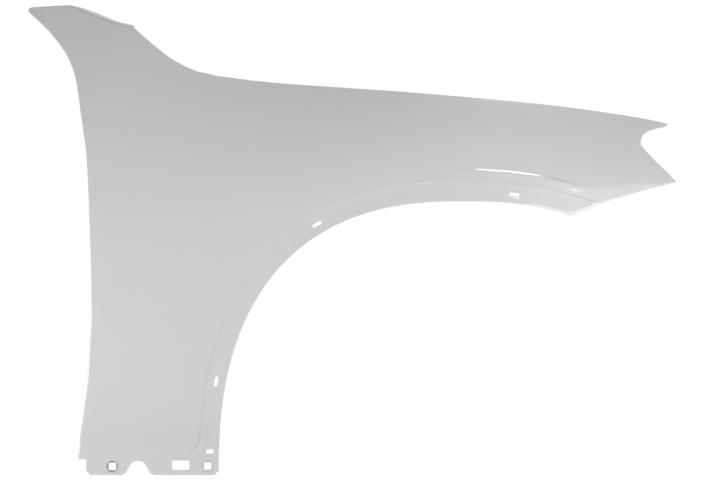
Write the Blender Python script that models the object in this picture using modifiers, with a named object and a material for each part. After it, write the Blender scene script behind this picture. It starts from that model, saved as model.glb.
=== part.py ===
"""A car's right-hand front fender: one sheet-steel pressing with folded edges.

Metres, +Z up. +X points to the front of the car and +Y to the car's middle,
so the painted face looks along -Y. The origin lies on the inner face of the
sill flange, between its notch and its long hole.
"""

import math

import bmesh
import bpy
from mathutils import Vector
from mathutils.kdtree import KDTree

# Overall sizes and the sheet
LENGTH = 1.177
HEIGHT = 0.851
SHEET = 0.0008
ORIGIN_X_SHARE = 0.2110
ORIGIN_Z_SHARE = 0.0169

# Wheel arch: half of a rounded square, on its centre, as shares of LENGTH and HEIGHT
ARCH_HALF_LENGTH_SHARE = 0.3764
ARCH_RISE_SHARE = 0.5852
ARCH_SQUARENESS_SHARE = 2.483
ARCH_CENTRE_X_SHARE = 0.6740
ARCH_CENTRE_Z_SHARE = -0.0065
ARCH_FRONT_ANGLE = math.radians(68.0)
STEP_FRONT_ANGLE = math.radians(63.3)

# Recessed band round the arch, where the arch trim is clipped on
BAND_WIDTH = 0.036
BAND_FOOT_SHARE = 0.0344
BAND_DEPTH = 0.0040
BAND_LIP = 0.0016
BAND_LIP_START_ANGLE = math.radians(152.0)
BAND_LIP_FULL_ANGLE = math.radians(160.0)

# Width of the band, by angle round the arch in degrees, as shares of BAND_WIDTH
BAND_WIDTH_SHARES = (
    (175.5, 1.44),
    (172.3, 1.14),
    (167.6, 1.05),
    (161.4, 1.09),
    (155.8, 1.09),
    (148.3, 1.04),
    (141.4, 1.03),
    (133.5, 0.92),
    (125.4, 0.92),
    (117.4, 0.96),
    (110.3, 0.96),
    (102.5, 1.01),
    (92.9, 1.04),
    (83.3, 1.01),
    (73.6, 1.00),
    (65.8, 1.08),
    (63.3, 1.25),
)

# Depth of the skin behind its widest line: crowns, sweeps and the crease
SIDE_DEPTH = 0.028
REAR_CROWN_RADIUS = 0.780
FRONT_CROWN_RADIUS = 0.232
REAR_WIDEST_SHARE = 0.4543
FRONT_WIDEST_SHARE = 0.6025
CROWN_REAR_X_SHARE = 0.1161
CROWN_FRONT_X_SHARE = 0.6515
WIDEST_X_SHARE = 0.6821
NOSE_SWEEP = 0.080
NOSE_TWIST = 0.050
REAR_SWEEP = 0.016
SILL_TUCK = 0.012
SILL_TUCK_SHARE = 0.3700
CREASE_HEIGHT = 0.0022
CREASE_START_SHARE = 0.645
CREASE_END_SHARE = 0.860

# How late each sweep sets in: 1 is a straight slope, 2 a parabola
NOSE_SWEEP_BEND_SHARE = 2.2
NOSE_TWIST_BEND_SHARE = 1.5
REAR_SWEEP_BEND_SHARE = 1.6
CREASE_BEND_SHARE = 0.7

# Outline of the skin as shares of LENGTH and HEIGHT, from the lowest corner
# of the door edge, over the spike and along the hood line to the front tip
DOOR_SHARES = (
    (0.0823, 0.0369),
    (0.0866, 0.0872),
    (0.0957, 0.1876),
    (0.1027, 0.3050),
    (0.1033, 0.3893),
    (0.1014, 0.5076),
    (0.0967, 0.6426),
    (0.0935, 0.6934),
    (0.0878, 0.7437),
    (0.0841, 0.7773),
    (0.0783, 0.8281),
    (0.0717, 0.8611),
    (0.0611, 0.8923),
    (0.0466, 0.9209),
    (0.0300, 0.9471),
    (0.0117, 0.9716),
    (0.0018, 0.9839),
    (0.0002, 0.9880),
)
SPIKE_SHARES = (
    (0.0002, 0.9880),
    (0.0015, 0.9930),
    (0.0060, 0.9953),
    (0.0305, 0.9977),
    (0.0631, 1.0000),
)
PILLAR_SHARES = (
    (0.0631, 1.0000),
    (0.0880, 0.9830),
    (0.1118, 0.9700),
    (0.1352, 0.9590),
    (0.1507, 0.9540),
    (0.1639, 0.9514),
)
COWL_SHARES = (
    (0.1639, 0.9514),
    (0.1847, 0.9261),
    (0.2038, 0.9040),
    (0.2237, 0.8833),
    (0.2453, 0.8667),
    (0.2683, 0.8543),
    (0.2922, 0.8470),
)
HOOD_SHARES = (
    (0.2922, 0.8470),
    (0.3651, 0.8342),
    (0.4384, 0.8260),
    (0.5363, 0.8164),
    (0.6096, 0.8085),
    (0.7559, 0.7907),
    (0.8294, 0.7801),
    (0.9032, 0.7669),
    (0.9527, 0.7564),
    (0.9893, 0.7466),
)
LAMP_SHARES = (
    (1.0000, 0.6204),
    (0.9869, 0.6398),
    (0.9694, 0.6635),
    (0.9528, 0.6878),
    (0.9467, 0.6989),
    (0.9462, 0.7079),
    (0.9490, 0.7186),
    (0.9590, 0.7289),
    (0.9711, 0.7347),
    (0.9835, 0.7377),
    (0.9885, 0.7430),
    (0.9893, 0.7466),
)
BUMPER_BOW_SHARE = 0.045

# The surface is three patches: the rear leg with its spike, the wing above
# the arch, and the band. The first two meet on a seam from the step line to
# the foot of the cowl edge. These are their counts of rows and columns.
LEG_ROWS = 26
SEAM_ROWS = 12
COWL_ROWS = 6
PILLAR_ROWS = 5
WING_COLUMNS = 30
NOSE_COLUMNS = 7

# Where the seam meets the step line, and where the stretches of the door edge
# that face the leg and the seam end, as shares of their lengths
SEAM_STEP_SHARE = 0.434
DOOR_LEG_SHARE = 0.50
DOOR_SEAM_SHARE = 0.78

# How rows and columns are spread across the patches
BAND_ROW_SHARES = (0.0, 0.32, 0.60, 0.72, 0.84, 1.0)
WING_ROW_SHARES = (0.0, 0.07, 0.15, 0.23, 0.32, 0.41, 0.50, 0.59, 0.68, 0.77, 0.86, 0.94, 1.0)
REAR_COLUMN_SHARES = (0.0, 0.085, 0.19, 0.30, 0.41, 0.52, 0.63, 0.74, 0.85, 0.94, 1.0)
CREASE_ROW = 2
BAND_LIP_ROWS = 2
END_PULL_SHARE = 5
ARCH_TURN_START_SHARE = 0.6

# Folded edges, and the rim points left free between neighbouring flanges
ROLL_RADIUS = 0.0026
ROLL_STEPS = 2
RELIEF_POINTS = 1
LAMP_RELIEF_POINTS = 4
DOOR_RETURN = 0.014
COWL_RETURN = 0.012
LAMP_RETURN = 0.011
BUMPER_RETURN = 0.018
ARCH_RETURN = 0.021
ARCH_SPLAY = 0.0024
STRIP_WIDTH = 0.0072
STRIP_JOGGLE = 0.0030
STRIP_WIDTH_SHARES = (0.12, 0.95, 1.0, 0.85, 0.62, 0.50)
GUTTER_DROP = 0.013
GUTTER_SET_IN = 0.006
LEDGE_WIDTH = 0.027

# Sill flange, and the heights over which the band and the skin swell out of its plane
FLANGE_TOP_SHARE = 0.0325
FLANGE_BLEND_SHARE = 0.0800
SKIN_FOOT_SHARE = 0.0050
SKIN_FREE_SHARE = 0.1150
FLANGE_BEND_SHARE = 0.5
FLANGE_FLAT_SHARE = 0.12
FLANGE_CORNER = 0.009

# Openings of the sill flange. Their places are shares of the foot's width,
# from the door edge to the arch, and of HEIGHT. Their sizes are shares of the
# flange's height.
SEAT_RADIUS_SHARE = 0.3688
SEAT_DEPTH = 0.0014
SEAT_SLOPE = 0.0014
SEAT_SIDES = 28
SQUARE_HOLE_SHARE = 0.4845
SEAT_SHARES = ((0.2452, 0.0181), (0.9220, 0.0190))
LONG_HOLE_SIZE_SHARES = (1.1208, 0.6038)
LONG_HOLE_SHARES = (0.7315, 0.0209)
SMALL_HOLE_SIZE_SHARES = (0.4628, 0.2856)
SMALL_HOLE_SHARES = (0.9373, 0.0498)
HOLE_CORNER = 0.0018
NOTCH_SIZE_SHARES = (2.0248, 0.9220)
NOTCH_X_SHARE = 0.4273
NOTCH_POINT_SHARES = (
    (0.50, 0.00),
    (0.475, 0.05),
    (0.39, 0.16),
    (0.32, 0.42),
    (0.25, 0.72),
    (0.14, 0.93),
    (0.00, 1.00),
)

# Openings of the band and of the ledge
SLOT_LENGTH = 0.0182
SLOT_WIDTH = 0.0062
SLOT_SET_BACK = 0.0176
SLOT_ANGLES = (math.radians(158.7), math.radians(120.2), math.radians(80.1))
SLIT_LENGTH = 0.0125
SLIT_WIDTH = 0.0018
SLIT_SET_BACK = 0.0096
SLIT_ANGLE = math.radians(79.7)
DIMPLE_SPHERE = 0.0050
DIMPLE_DEPTH = 0.0005
DIMPLE_SET_BACK = 0.0235
DIMPLE_ANGLES = (math.radians(75.3), math.radians(71.3))
LEDGE_SLOT_LENGTH = 0.0120
LEDGE_SLOT_WIDTH = 0.0085
LEDGE_SLOT_COLUMN_SHARES = (0.10, 0.37, 0.64, 0.91)
LEDGE_GAP_COLUMN_SHARES = (0.235, 0.505, 0.775)
LEDGE_GAP_LENGTH = 0.052
LEDGE_GAP_REACH = 0.013
LEDGE_GAP_CORNER = 0.006
SLOT_CORNER_SHARE = 0.45
CUT_REACH = 0.012
CORNER_SEGMENTS = 4
ROUND_SHARE = 0.5
NOTCH_STEPS = 28
DIMPLE_SIDES = 16
DIMPLE_RINGS = 10

# Finish: glossy light-grey paint on steel
PAINT_COLOUR = (0.60, 0.62, 0.62, 1.0)
PAINT_ROUGHNESS = 0.25
PAINT_METALLIC = 0.0

# Numbers worked out from the counts above
REAR_ROWS = LEG_ROWS + SEAM_ROWS + COWL_ROWS + PILLAR_ROWS
REAR_COLUMNS = len(REAR_COLUMN_SHARES) - 1
HOOD_COLUMNS = WING_COLUMNS + NOSE_COLUMNS
BAND_COLUMNS = LEG_ROWS + WING_COLUMNS
BAND_ROWS = len(BAND_ROW_SHARES) - 1
CURVE_STEPS = 12
ARCH_STEPS = 140
SMALL_TURN = math.radians(0.5)
INBOARD = Vector((0.0, 1.0, 0.0))


def place(share):
    """The point (x, z) that a pair of outline shares stands for."""
    x = (share[0] - ORIGIN_X_SHARE) * LENGTH
    z = (share[1] - ORIGIN_Z_SHARE) * HEIGHT
    return Vector((x, z))


def smooth(value, start, end):
    """A smooth rise from 0 at start to 1 at end."""
    t = min(max((value - start) / (end - start), 0.0), 1.0)
    return t * t * (3.0 - 2.0 * t)


def blend(first, second, t):
    return first + (second - first) * t


def table_value(table, key):
    """The value at key in a table of (key, value) whose keys fall."""
    if key >= table[0][0]:
        return table[0][1]
    for (key_a, value_a), (key_b, value_b) in zip(table, table[1:]):
        if key >= key_b:
            t = (key_a - key) / (key_a - key_b)
            return blend(value_a, value_b, t * t * (3.0 - 2.0 * t))
    return table[-1][1]


def curve_through(points):
    """A fine polyline along a smooth curve through the points."""
    ends = [2 * points[0] - points[1], *points, 2 * points[-1] - points[-2]]
    line = [points[0].copy()]
    for a, b, c, d in zip(ends, ends[1:], ends[2:], ends[3:]):
        for step in range(1, CURVE_STEPS + 1):
            t = step / CURVE_STEPS
            point = 2 * b + (c - a) * t
            point += (2 * a - 5 * b + 4 * c - d) * t**2
            point += (3 * b - a - 3 * c + d) * t**3
            line.append(point / 2)
    return line


def at_shares(line, shares):
    """The points of a polyline at these shares of its length."""
    run = [0.0]
    for a, b in zip(line, line[1:]):
        run.append(run[-1] + (b - a).length)
    found = []
    for share in shares:
        goal = share * run[-1]
        index = 1
        while index < len(run) - 1 and run[index] < goal:
            index += 1
        span = run[index] - run[index - 1]
        found.append(line[index - 1].lerp(line[index], (goal - run[index - 1]) / span))
    return found


def even(count, start=0.0, end=1.0):
    """The shares that cut a stretch of a length into so many equal steps."""
    return [blend(start, end, step / count) for step in range(count + 1)]


# The arch and its band

ARCH_CENTRE = place((ARCH_CENTRE_X_SHARE, ARCH_CENTRE_Z_SHARE))


def arch_radius(angle):
    along = abs(math.cos(angle)) / (ARCH_HALF_LENGTH_SHARE * LENGTH)
    up = abs(math.sin(angle)) / (ARCH_RISE_SHARE * HEIGHT)
    power = ARCH_SQUARENESS_SHARE
    return (along**power + up**power) ** (-1.0 / power)


def arch_place(angle, set_back=0.0):
    """The point (x, z) this far outside the arch edge, at an angle round its centre."""
    ray = Vector((math.cos(angle), math.sin(angle)))
    return ARCH_CENTRE + ray * (arch_radius(angle) + set_back)


def arch_angle(point):
    return math.atan2(point.y - ARCH_CENTRE.y, point.x - ARCH_CENTRE.x)


def foot_angle():
    """The angle round the centre at which the arch edge meets the foot of the band."""
    rise = place((0.0, BAND_FOOT_SHARE)).y - ARCH_CENTRE.y
    return math.pi - math.asin(rise / (ARCH_HALF_LENGTH_SHARE * LENGTH))


def step_line():
    """The top of the band's step, from the sill to the front."""
    line = []
    for share in even(ARCH_STEPS):
        angle = blend(foot_angle(), STEP_FRONT_ANGLE, share)
        width_share = table_value(BAND_WIDTH_SHARES, math.degrees(angle))
        line.append(arch_place(angle, BAND_WIDTH * width_share))
    return line


# The depth of the skin


def widest_height(x):
    rear = place((0.0, REAR_WIDEST_SHARE)).y
    front = place((0.0, FRONT_WIDEST_SHARE)).y
    return blend(rear, front, crown_blend(x))


def crown_blend(x):
    start = place((CROWN_REAR_X_SHARE, 0.0)).x
    end = place((CROWN_FRONT_X_SHARE, 0.0)).x
    return smooth(x, start, end)


def skin_depth(x, z):
    """How far inboard of the sill flange the skin lies at (x, z)."""
    tip = place(LAMP_SHARES[0])
    tail = place(DOOR_SHARES[0])
    crest = place((WIDEST_X_SHARE, FRONT_WIDEST_SHARE))
    ahead = max(x - crest.x, 0.0) / (tip.x - crest.x)
    behind = max(crest.x - x, 0.0) / (crest.x - tail.x)
    above = max(z - widest_height(x), 0.0)
    tuck_top = place((0.0, SILL_TUCK_SHARE)).y
    below = max(tuck_top - z, 0.0) / (tuck_top - tail.y)
    curvature = blend(1.0 / REAR_CROWN_RADIUS, 1.0 / FRONT_CROWN_RADIUS, crown_blend(x))
    nose_rise = place(LAMP_SHARES[-1]).y - crest.y
    depth = above * above * curvature / 2.0
    depth += NOSE_SWEEP * ahead**NOSE_SWEEP_BEND_SHARE
    depth += NOSE_TWIST * ahead**NOSE_TWIST_BEND_SHARE * above / nose_rise
    depth += REAR_SWEEP * behind**REAR_SWEEP_BEND_SHARE
    depth += SILL_TUCK * below**2
    foot = place((0.0, SKIN_FOOT_SHARE)).y
    free = place((0.0, SKIN_FREE_SHARE)).y
    return blend(-SHEET, depth - SIDE_DEPTH, smooth(z, foot, free))


def flange_height():
    return place((0.0, FLANGE_TOP_SHARE)).y - place((0.0, 0.0)).y


def foot_place(share):
    """The point (x, z) at this share of the foot's width and this share of the height."""
    door = place(DOOR_SHARES[0]).x
    arch = ARCH_CENTRE.x - ARCH_HALF_LENGTH_SHARE * LENGTH
    return Vector((blend(door, arch, share[0]), place(share).y))


def plain_depth(point, row):
    return skin_depth(point.x, point.y)


def wing_depth(point, row):
    depth = skin_depth(point.x, point.y)
    return depth - crease_height(point.x) if row == CREASE_ROW else depth


def band_depth(point, row):
    """The depth of the band's floor, which runs into the sill flange at its foot."""
    floor = skin_depth(point.x, point.y)
    if row == BAND_ROWS:
        return floor
    drop = BAND_DEPTH
    if row <= BAND_LIP_ROWS:
        drop -= BAND_LIP * smooth(arch_angle(point), BAND_LIP_START_ANGLE, BAND_LIP_FULL_ANGLE)
    flange_top = place((0.0, FLANGE_TOP_SHARE)).y
    blend_top = place((0.0, FLANGE_BLEND_SHARE)).y
    return floor + drop * smooth(point.y, flange_top, blend_top)


def crease_height(x):
    """The ridge of the flare above the arch, which dies away at both ends."""
    start = place((CREASE_START_SHARE, 0.0)).x
    end = place((CREASE_END_SHARE, 0.0)).x
    t = min(max((x - start) / (end - start), 0.0), 1.0)
    return CREASE_HEIGHT * math.sin(math.pi * t) ** CREASE_BEND_SHARE


# The outline


def stretch(shares, spread):
    """Points along a smooth curve through outline shares, spread by shares of its length."""
    return at_shares(curve_through([place(share) for share in shares]), spread)


def inner_line():
    """The step line, one point a column of the band, then the bumper edge to the front."""
    spread = even(LEG_ROWS, 0.0, SEAM_STEP_SHARE)[:-1] + even(WING_COLUMNS, SEAM_STEP_SHARE, 1.0)
    line = at_shares(step_line(), spread)
    end = line[-1]
    tip = place(LAMP_SHARES[0])
    for share in even(NOSE_COLUMNS)[1:]:
        point = end.lerp(tip, share)
        point.y += BUMPER_BOW_SHARE * (tip.x - end.x) * math.sin(math.pi * share)
        line.append(point)
    return line


def arch_line(inner):
    """The arch edge, one point for each column of the band."""
    line = []
    for column in range(BAND_COLUMNS + 1):
        angle = arch_angle(inner[column])
        turn = ARCH_FRONT_ANGLE - STEP_FRONT_ANGLE
        ramp = smooth(column / BAND_COLUMNS, ARCH_TURN_START_SHARE, 1.0)
        line.append(arch_place(angle + turn * ramp))
    return line


class Rim:
    """One point of the folded outline: where it is and which way it faces."""

    def __init__(self, point, before, after, splay):
        along = (after - before).normalized()
        self.outward = Vector((-along.y, along.x))
        reach = self.outward * ROLL_RADIUS
        far = point + reach
        near = point - reach
        rise = skin_depth(far.x, far.y) - skin_depth(near.x, near.y)
        self.slope = math.atan2(rise, 2.0 * ROLL_RADIUS)
        roll_reach = ROLL_RADIUS * (1.0 - math.sin(self.slope))
        self.inset = point - self.outward * (roll_reach + splay)

    def offset(self, start, outward, inboard):
        """The point this far outward and inboard of a starting point."""
        step = Vector((self.outward.x, 0.0, self.outward.y)) * outward
        return start + step + INBOARD * inboard


def outline_stretches(inner):
    """The outline but the sill, clockwise, as named stretches that share no point."""
    door = even(LEG_ROWS, 0.0, DOOR_LEG_SHARE)[:-1]
    door += even(SEAM_ROWS, DOOR_LEG_SHARE, DOOR_SEAM_SHARE)[:-1]
    door += even(COWL_ROWS + PILLAR_ROWS, DOOR_SEAM_SHARE, 1.0)
    arch = arch_line(inner)
    closing = [arch[-1].lerp(inner[BAND_COLUMNS], share) for share in BAND_ROW_SHARES]
    bumper = inner[BAND_COLUMNS : BAND_COLUMNS + NOSE_COLUMNS + 1]
    return {
        "door": stretch(DOOR_SHARES, door),
        "spike": stretch(SPIKE_SHARES, REAR_COLUMN_SHARES)[1:],
        "pillar": stretch(PILLAR_SHARES, even(PILLAR_ROWS))[1:],
        "cowl": stretch(COWL_SHARES, even(COWL_ROWS))[1:],
        "hood": stretch(HOOD_SHARES, even(HOOD_COLUMNS))[1:],
        "lamp": stretch(LAMP_SHARES, WING_ROW_SHARES)[-2::-1],
        "bumper": bumper[-2::-1],
        "closing": closing[-2::-1],
        "arch": arch[-2::-1],
    }


def rim_stretches(inner):
    """The same stretches as folded rims."""
    stretches = outline_stretches(inner)
    loop = [(name, point) for name, points in stretches.items() for point in points]
    rims = {name: [] for name in stretches}
    for index, (name, point) in enumerate(loop):
        before = loop[max(index - 1, 0)][1]
        after = loop[min(index + 1, len(loop) - 1)][1]
        splay = ARCH_SPLAY if name == "arch" else 0.0
        rims[name].append(Rim(point, before, after, splay))
    return rims


# The skin


def ruled(start, end, share, bulge, pull):
    """A point between two opposite sides, pulled towards the bulge of a third."""
    return start.lerp(end, share) + bulge * pull**END_PULL_SHARE


def rear_spots(rims, inner):
    """The places (x, z) of the leg and spike, by column from the door edge and row."""
    left = [rim.inset for rim in rims["door"]]
    top = [left[-1], *(rim.inset for rim in rims["spike"])]
    pillar = [top[-1], *(rim.inset for rim in rims["pillar"])]
    cowl = [pillar[-1], *(rim.inset for rim in rims["cowl"])]
    seam = [inner[LEG_ROWS].lerp(cowl[-1], share) for share in WING_ROW_SHARES]
    right = [*inner[:LEG_ROWS], *seam, *cowl[-2::-1], *pillar[-2::-1]]
    spots = {}
    for column, share in enumerate(REAR_COLUMN_SHARES):
        bulge = top[column] - left[-1].lerp(right[-1], share)
        for row in range(REAR_ROWS + 1):
            pull = row / REAR_ROWS
            spots[column, row] = ruled(left[row], right[row], share, bulge, pull)
    return spots


def wing_spots(rims, inner):
    """The places of the wing above the arch, by column from the seam and row."""
    bumper = [rim.inset for rim in rims["bumper"]][::-1]
    tip = rims["lamp"][-1].inset
    low = [*inner[LEG_ROWS:BAND_COLUMNS], *bumper, tip]
    high = [rims["cowl"][-1].inset, *(rim.inset for rim in rims["hood"])]
    lamp = [*(rim.inset for rim in rims["lamp"][::-1]), high[-1]]
    spots = {}
    for row, share in enumerate(WING_ROW_SHARES):
        bulge = lamp[row] - low[-1].lerp(high[-1], share)
        for column in range(HOOD_COLUMNS + 1):
            pull = column / HOOD_COLUMNS
            spots[column, row] = ruled(low[column], high[column], share, bulge, pull)
    return spots


def band_spots(rims, inner):
    """The places of the band, by column from the sill and row from the arch edge."""
    closing = [rim.inset for rim in rims["closing"]][::-1]
    closing.append(rims["bumper"][-1].inset)
    low = [*(rim.inset for rim in rims["arch"][::-1]), closing[0]]
    high = [*inner[:BAND_COLUMNS], closing[-1]]
    spots = {}
    for row, share in enumerate(BAND_ROW_SHARES):
        for column in range(BAND_COLUMNS):
            spots[column, row] = low[column].lerp(high[column], share)
        spots[BAND_COLUMNS, row] = closing[row]
    return spots


def add_patch(bm, spots, depth_of):
    """One patch: a square grid laid over its places, at the depth that its row has."""
    columns, rows = max(spots)
    made = bmesh.ops.create_grid(bm, x_segments=columns, y_segments=rows, size=0.5)
    for vert in made["verts"]:
        column = round((vert.co.x + 0.5) * columns)
        row = round((vert.co.y + 0.5) * rows)
        spot = spots[column, row]
        vert.co = (spot.x, depth_of(spot, row), spot.y)


def add_skin(bm, rims, inner):
    """The three patches, sewn together where they share a line."""
    add_patch(bm, rear_spots(rims, inner), plain_depth)
    add_patch(bm, wing_spots(rims, inner), wing_depth)
    add_patch(bm, band_spots(rims, inner), band_depth)
    bmesh.ops.remove_doubles(bm, verts=bm.verts, dist=SHEET / 100)


def verts_at(bm, spots):
    """The vertices of the skin at these places (x, z), in order."""
    tree = KDTree(len(bm.verts))
    bm.verts.ensure_lookup_table()
    for index, vert in enumerate(bm.verts):
        tree.insert((vert.co.x, 0.0, vert.co.z), index)
    tree.balance()
    return [bm.verts[tree.find((spot.x, 0.0, spot.y))[1]] for spot in spots]


# The folded edges


def extrude_strip(bm, verts):
    """Extrudes the edges between these neighbours and gives the new ones in order."""
    edges = [bm.edges.get(pair) for pair in zip(verts, verts[1:])]
    made = bmesh.ops.extrude_edge_only(bm, edges=edges)["geom"]
    fresh = {item for item in made if isinstance(item, bmesh.types.BMVert)}
    new_verts = []
    for vert in verts:
        others = [edge.other_vert(vert) for edge in vert.link_edges]
        new_verts.append(next(other for other in others if other in fresh))
    return new_verts


def strip_width(share):
    """The width of the pillar strip at this share of its length."""
    position = share * (len(STRIP_WIDTH_SHARES) - 1)
    index = min(int(position), len(STRIP_WIDTH_SHARES) - 2)
    width_share = blend(*STRIP_WIDTH_SHARES[index : index + 2], position - index)
    return STRIP_WIDTH * width_share


def roll_edge(bm, rims):
    """Rolls the whole rim inwards; the pillar's stretch gets a small joggle instead."""
    loop = [(name, rim) for name, stretch_rims in rims.items() for rim in stretch_rims]
    ring = verts_at(bm, [rim.inset for name, rim in loop])
    base = [vert.co.copy() for vert in ring]
    for part in even(ROLL_STEPS)[1:]:
        ring = extrude_strip(bm, ring)
        for (name, rim), origin, vert in zip(loop, base, ring):
            turn = blend(rim.slope, math.pi / 2, part)
            outward = ROLL_RADIUS * (math.sin(turn) - math.sin(rim.slope))
            inboard = ROLL_RADIUS * (math.cos(rim.slope) - math.cos(turn))
            if name == "pillar":
                outward = SHEET * part
                inboard = STRIP_JOGGLE * part
            vert.co = rim.offset(origin, outward, inboard)
    rolled = {name: [] for name in rims}
    for (name, rim), vert in zip(loop, ring):
        rolled[name].append((rim, vert))
    return rolled


def fold(bm, edge, moves):
    """Folds a flange on from a stretch of the rolled rim, one ring for each move."""
    rims = [rim for rim, vert in edge]
    verts = [vert for rim, vert in edge]
    for outward, inboard in moves:
        previous = verts
        verts = extrude_strip(bm, previous)
        for rim, origin, vert in zip(rims, previous, verts):
            vert.co = rim.offset(origin.co, outward, inboard)
    return verts


def fold_flanges(bm, rolled):
    """The flanges, each with a relief gap to its neighbours, and the ledge's inner edge."""
    free = RELIEF_POINTS
    fold(bm, rolled["door"][free : -COWL_ROWS - PILLAR_ROWS], [(0.0, DOOR_RETURN)])
    fold(bm, rolled["cowl"][free:-free], [(0.0, COWL_RETURN)])
    fold(bm, rolled["lamp"][LAMP_RELIEF_POINTS:-free], [(0.0, LAMP_RETURN)])
    fold(bm, rolled["bumper"][free:] + rolled["closing"][:-free], [(0.0, BUMPER_RETURN)])
    fold(bm, rolled["arch"][free:-free], [(ARCH_SPLAY, ARCH_RETURN)])
    fold_pillar_strip(bm, rolled["pillar"])
    gutter = (-GUTTER_DROP, GUTTER_SET_IN)
    ledge = (0.0, LEDGE_WIDTH)
    return fold(bm, rolled["hood"][: free - NOSE_COLUMNS], [gutter, ledge])


def fold_pillar_strip(bm, edge):
    """The strip beyond the joggle, which the pillar trim covers on the car."""
    previous = [vert for rim, vert in edge]
    steps = even(len(edge) - 1)
    for share, (rim, origin), vert in zip(steps, edge, extrude_strip(bm, previous)):
        vert.co = rim.offset(origin.co, strip_width(share), 0.0)


def fold_sill(bm, rims, inner):
    """The flat flange below the skin, which stops short of the door edge, and its lower corners."""
    top = place((0.0, FLANGE_TOP_SHARE)).y
    bottom = place((0.0, 0.0)).y
    rear = rear_spots(rims, inner)
    band = band_spots(rims, inner)
    spots = [band[0, row] for row in range(BAND_ROWS)]
    spots += [rear[column, 0] for column in range(REAR_COLUMNS, 0, -1)]
    verts = verts_at(bm, spots)
    bend = blend(verts[0].co.z, top, FLANGE_BEND_SHARE)
    for height in (bend, blend(top, bottom, FLANGE_FLAT_SHARE), bottom):
        verts = extrude_strip(bm, verts)
        for vert in verts:
            vert.co.y = -SHEET
            vert.co.z = height
    return verts[-1].co.copy(), verts[0].co.copy()


# Cutters


def finish_object(bm, name, collection):
    mesh = bpy.data.meshes.new(name)
    bm.to_mesh(mesh)
    bm.free()
    obj = bpy.data.objects.new(name, mesh)
    collection.objects.link(obj)
    return obj


def hide_cutter(obj):
    obj.hide_render = True
    obj.display_type = "WIRE"
    return obj


def rounded_cutter(name, collection, size, corner, centre, turn, across):
    """A block with rounded corners, cutting along Y, or along Z for the ledge."""
    bm = bmesh.new()
    bmesh.ops.create_cube(bm, size=1.0)
    bmesh.ops.scale(bm, verts=bm.verts, vec=(size[0], size[1], 2.0 * CUT_REACH))
    upright = [
        edge for edge in bm.edges if abs(edge.verts[0].co.z - edge.verts[1].co.z) > CUT_REACH
    ]
    bmesh.ops.bevel(
        bm,
        geom=upright,
        offset=corner,
        segments=CORNER_SEGMENTS,
        profile=ROUND_SHARE,
        affect="EDGES",
    )
    obj = finish_object(bm, name, collection)
    obj.location = centre
    obj.rotation_euler = (0.0, 0.0, turn) if across == "Z" else (math.pi / 2, -turn, 0.0)
    return hide_cutter(obj)


def cone_cutter(name, collection, radius_out, radius_in, start, end, spot):
    """A short cone along Y from start to end, for a pressed seat."""
    bm = bmesh.new()
    bmesh.ops.create_cone(
        bm,
        cap_ends=True,
        segments=SEAT_SIDES,
        radius1=radius_in,
        radius2=radius_out,
        depth=end - start,
    )
    obj = finish_object(bm, name, collection)
    obj.location = (spot.x, (start + end) / 2, spot.y)
    obj.rotation_euler = (math.pi / 2, 0.0, 0.0)
    return hide_cutter(obj)


def notch_cutter(collection):
    """The round-topped notch with flared feet in the sill flange."""
    middle = foot_place((NOTCH_X_SHARE, 0.0))
    width, height = (share * flange_height() for share in NOTCH_SIZE_SHARES)
    half = [Vector((x * width, z * height)) for x, z in NOTCH_POINT_SHARES]
    mirrored = [Vector((-point.x, point.y)) for point in reversed(half[:-1])]
    side = at_shares(curve_through([*half, *mirrored]), even(NOTCH_STEPS))
    below = Vector((0.0, -height))
    outline = [side[0] + below, *side, side[-1] + below]
    bm = bmesh.new()
    corners = [bm.verts.new((middle.x + p.x, -CUT_REACH, middle.y + p.y)) for p in outline]
    face = bm.faces.new(corners)
    made = bmesh.ops.extrude_face_region(bm, geom=[face])["geom"]
    moved = [item for item in made if isinstance(item, bmesh.types.BMVert)]
    bmesh.ops.translate(bm, verts=moved, vec=INBOARD * 2.0 * CUT_REACH)
    bmesh.ops.recalc_face_normals(bm, faces=bm.faces)
    return hide_cutter(finish_object(bm, "notch_cutter", collection))


def corner_cutter(name, collection, corner):
    """A block set cornerwise, which takes a chamfer off a lower corner of the sill flange."""
    side = FLANGE_CORNER * math.sqrt(2.0)
    bm = bmesh.new()
    bmesh.ops.create_cube(bm, size=1.0)
    bmesh.ops.scale(bm, verts=bm.verts, vec=(side, 2.0 * CUT_REACH, side))
    obj = finish_object(bm, name, collection)
    obj.location = (corner.x, 0.0, corner.z)
    obj.rotation_euler = (0.0, math.pi / 4, 0.0)
    return hide_cutter(obj)


def dimple_cutter(name, collection, angle):
    """A sphere that only just enters the painted face."""
    spot = arch_place(angle, DIMPLE_SET_BACK)
    depth = skin_depth(spot.x, spot.y) + BAND_DEPTH
    bm = bmesh.new()
    bmesh.ops.create_uvsphere(
        bm, u_segments=DIMPLE_SIDES, v_segments=DIMPLE_RINGS, radius=DIMPLE_SPHERE
    )
    obj = finish_object(bm, name, collection)
    obj.location = (spot.x, depth - DIMPLE_SPHERE + DIMPLE_DEPTH, spot.y)
    return hide_cutter(obj)


def arch_cutter(name, collection, length, width, angle, set_back):
    """A slot in the band, lying along the arch."""
    spot = arch_place(angle, set_back)
    ahead = arch_place(angle - SMALL_TURN, set_back)
    turn = math.atan2(ahead.y - spot.y, ahead.x - spot.x)
    depth = skin_depth(spot.x, spot.y) + BAND_DEPTH
    size = (length, width)
    centre = (spot.x, depth, spot.y)
    corner = width * SLOT_CORNER_SHARE
    return rounded_cutter(name, collection, size, corner, centre, turn, "Y")


def add_group(cutters, name):
    group = bpy.data.collections.new(name)
    cutters.children.link(group)
    return group


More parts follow.
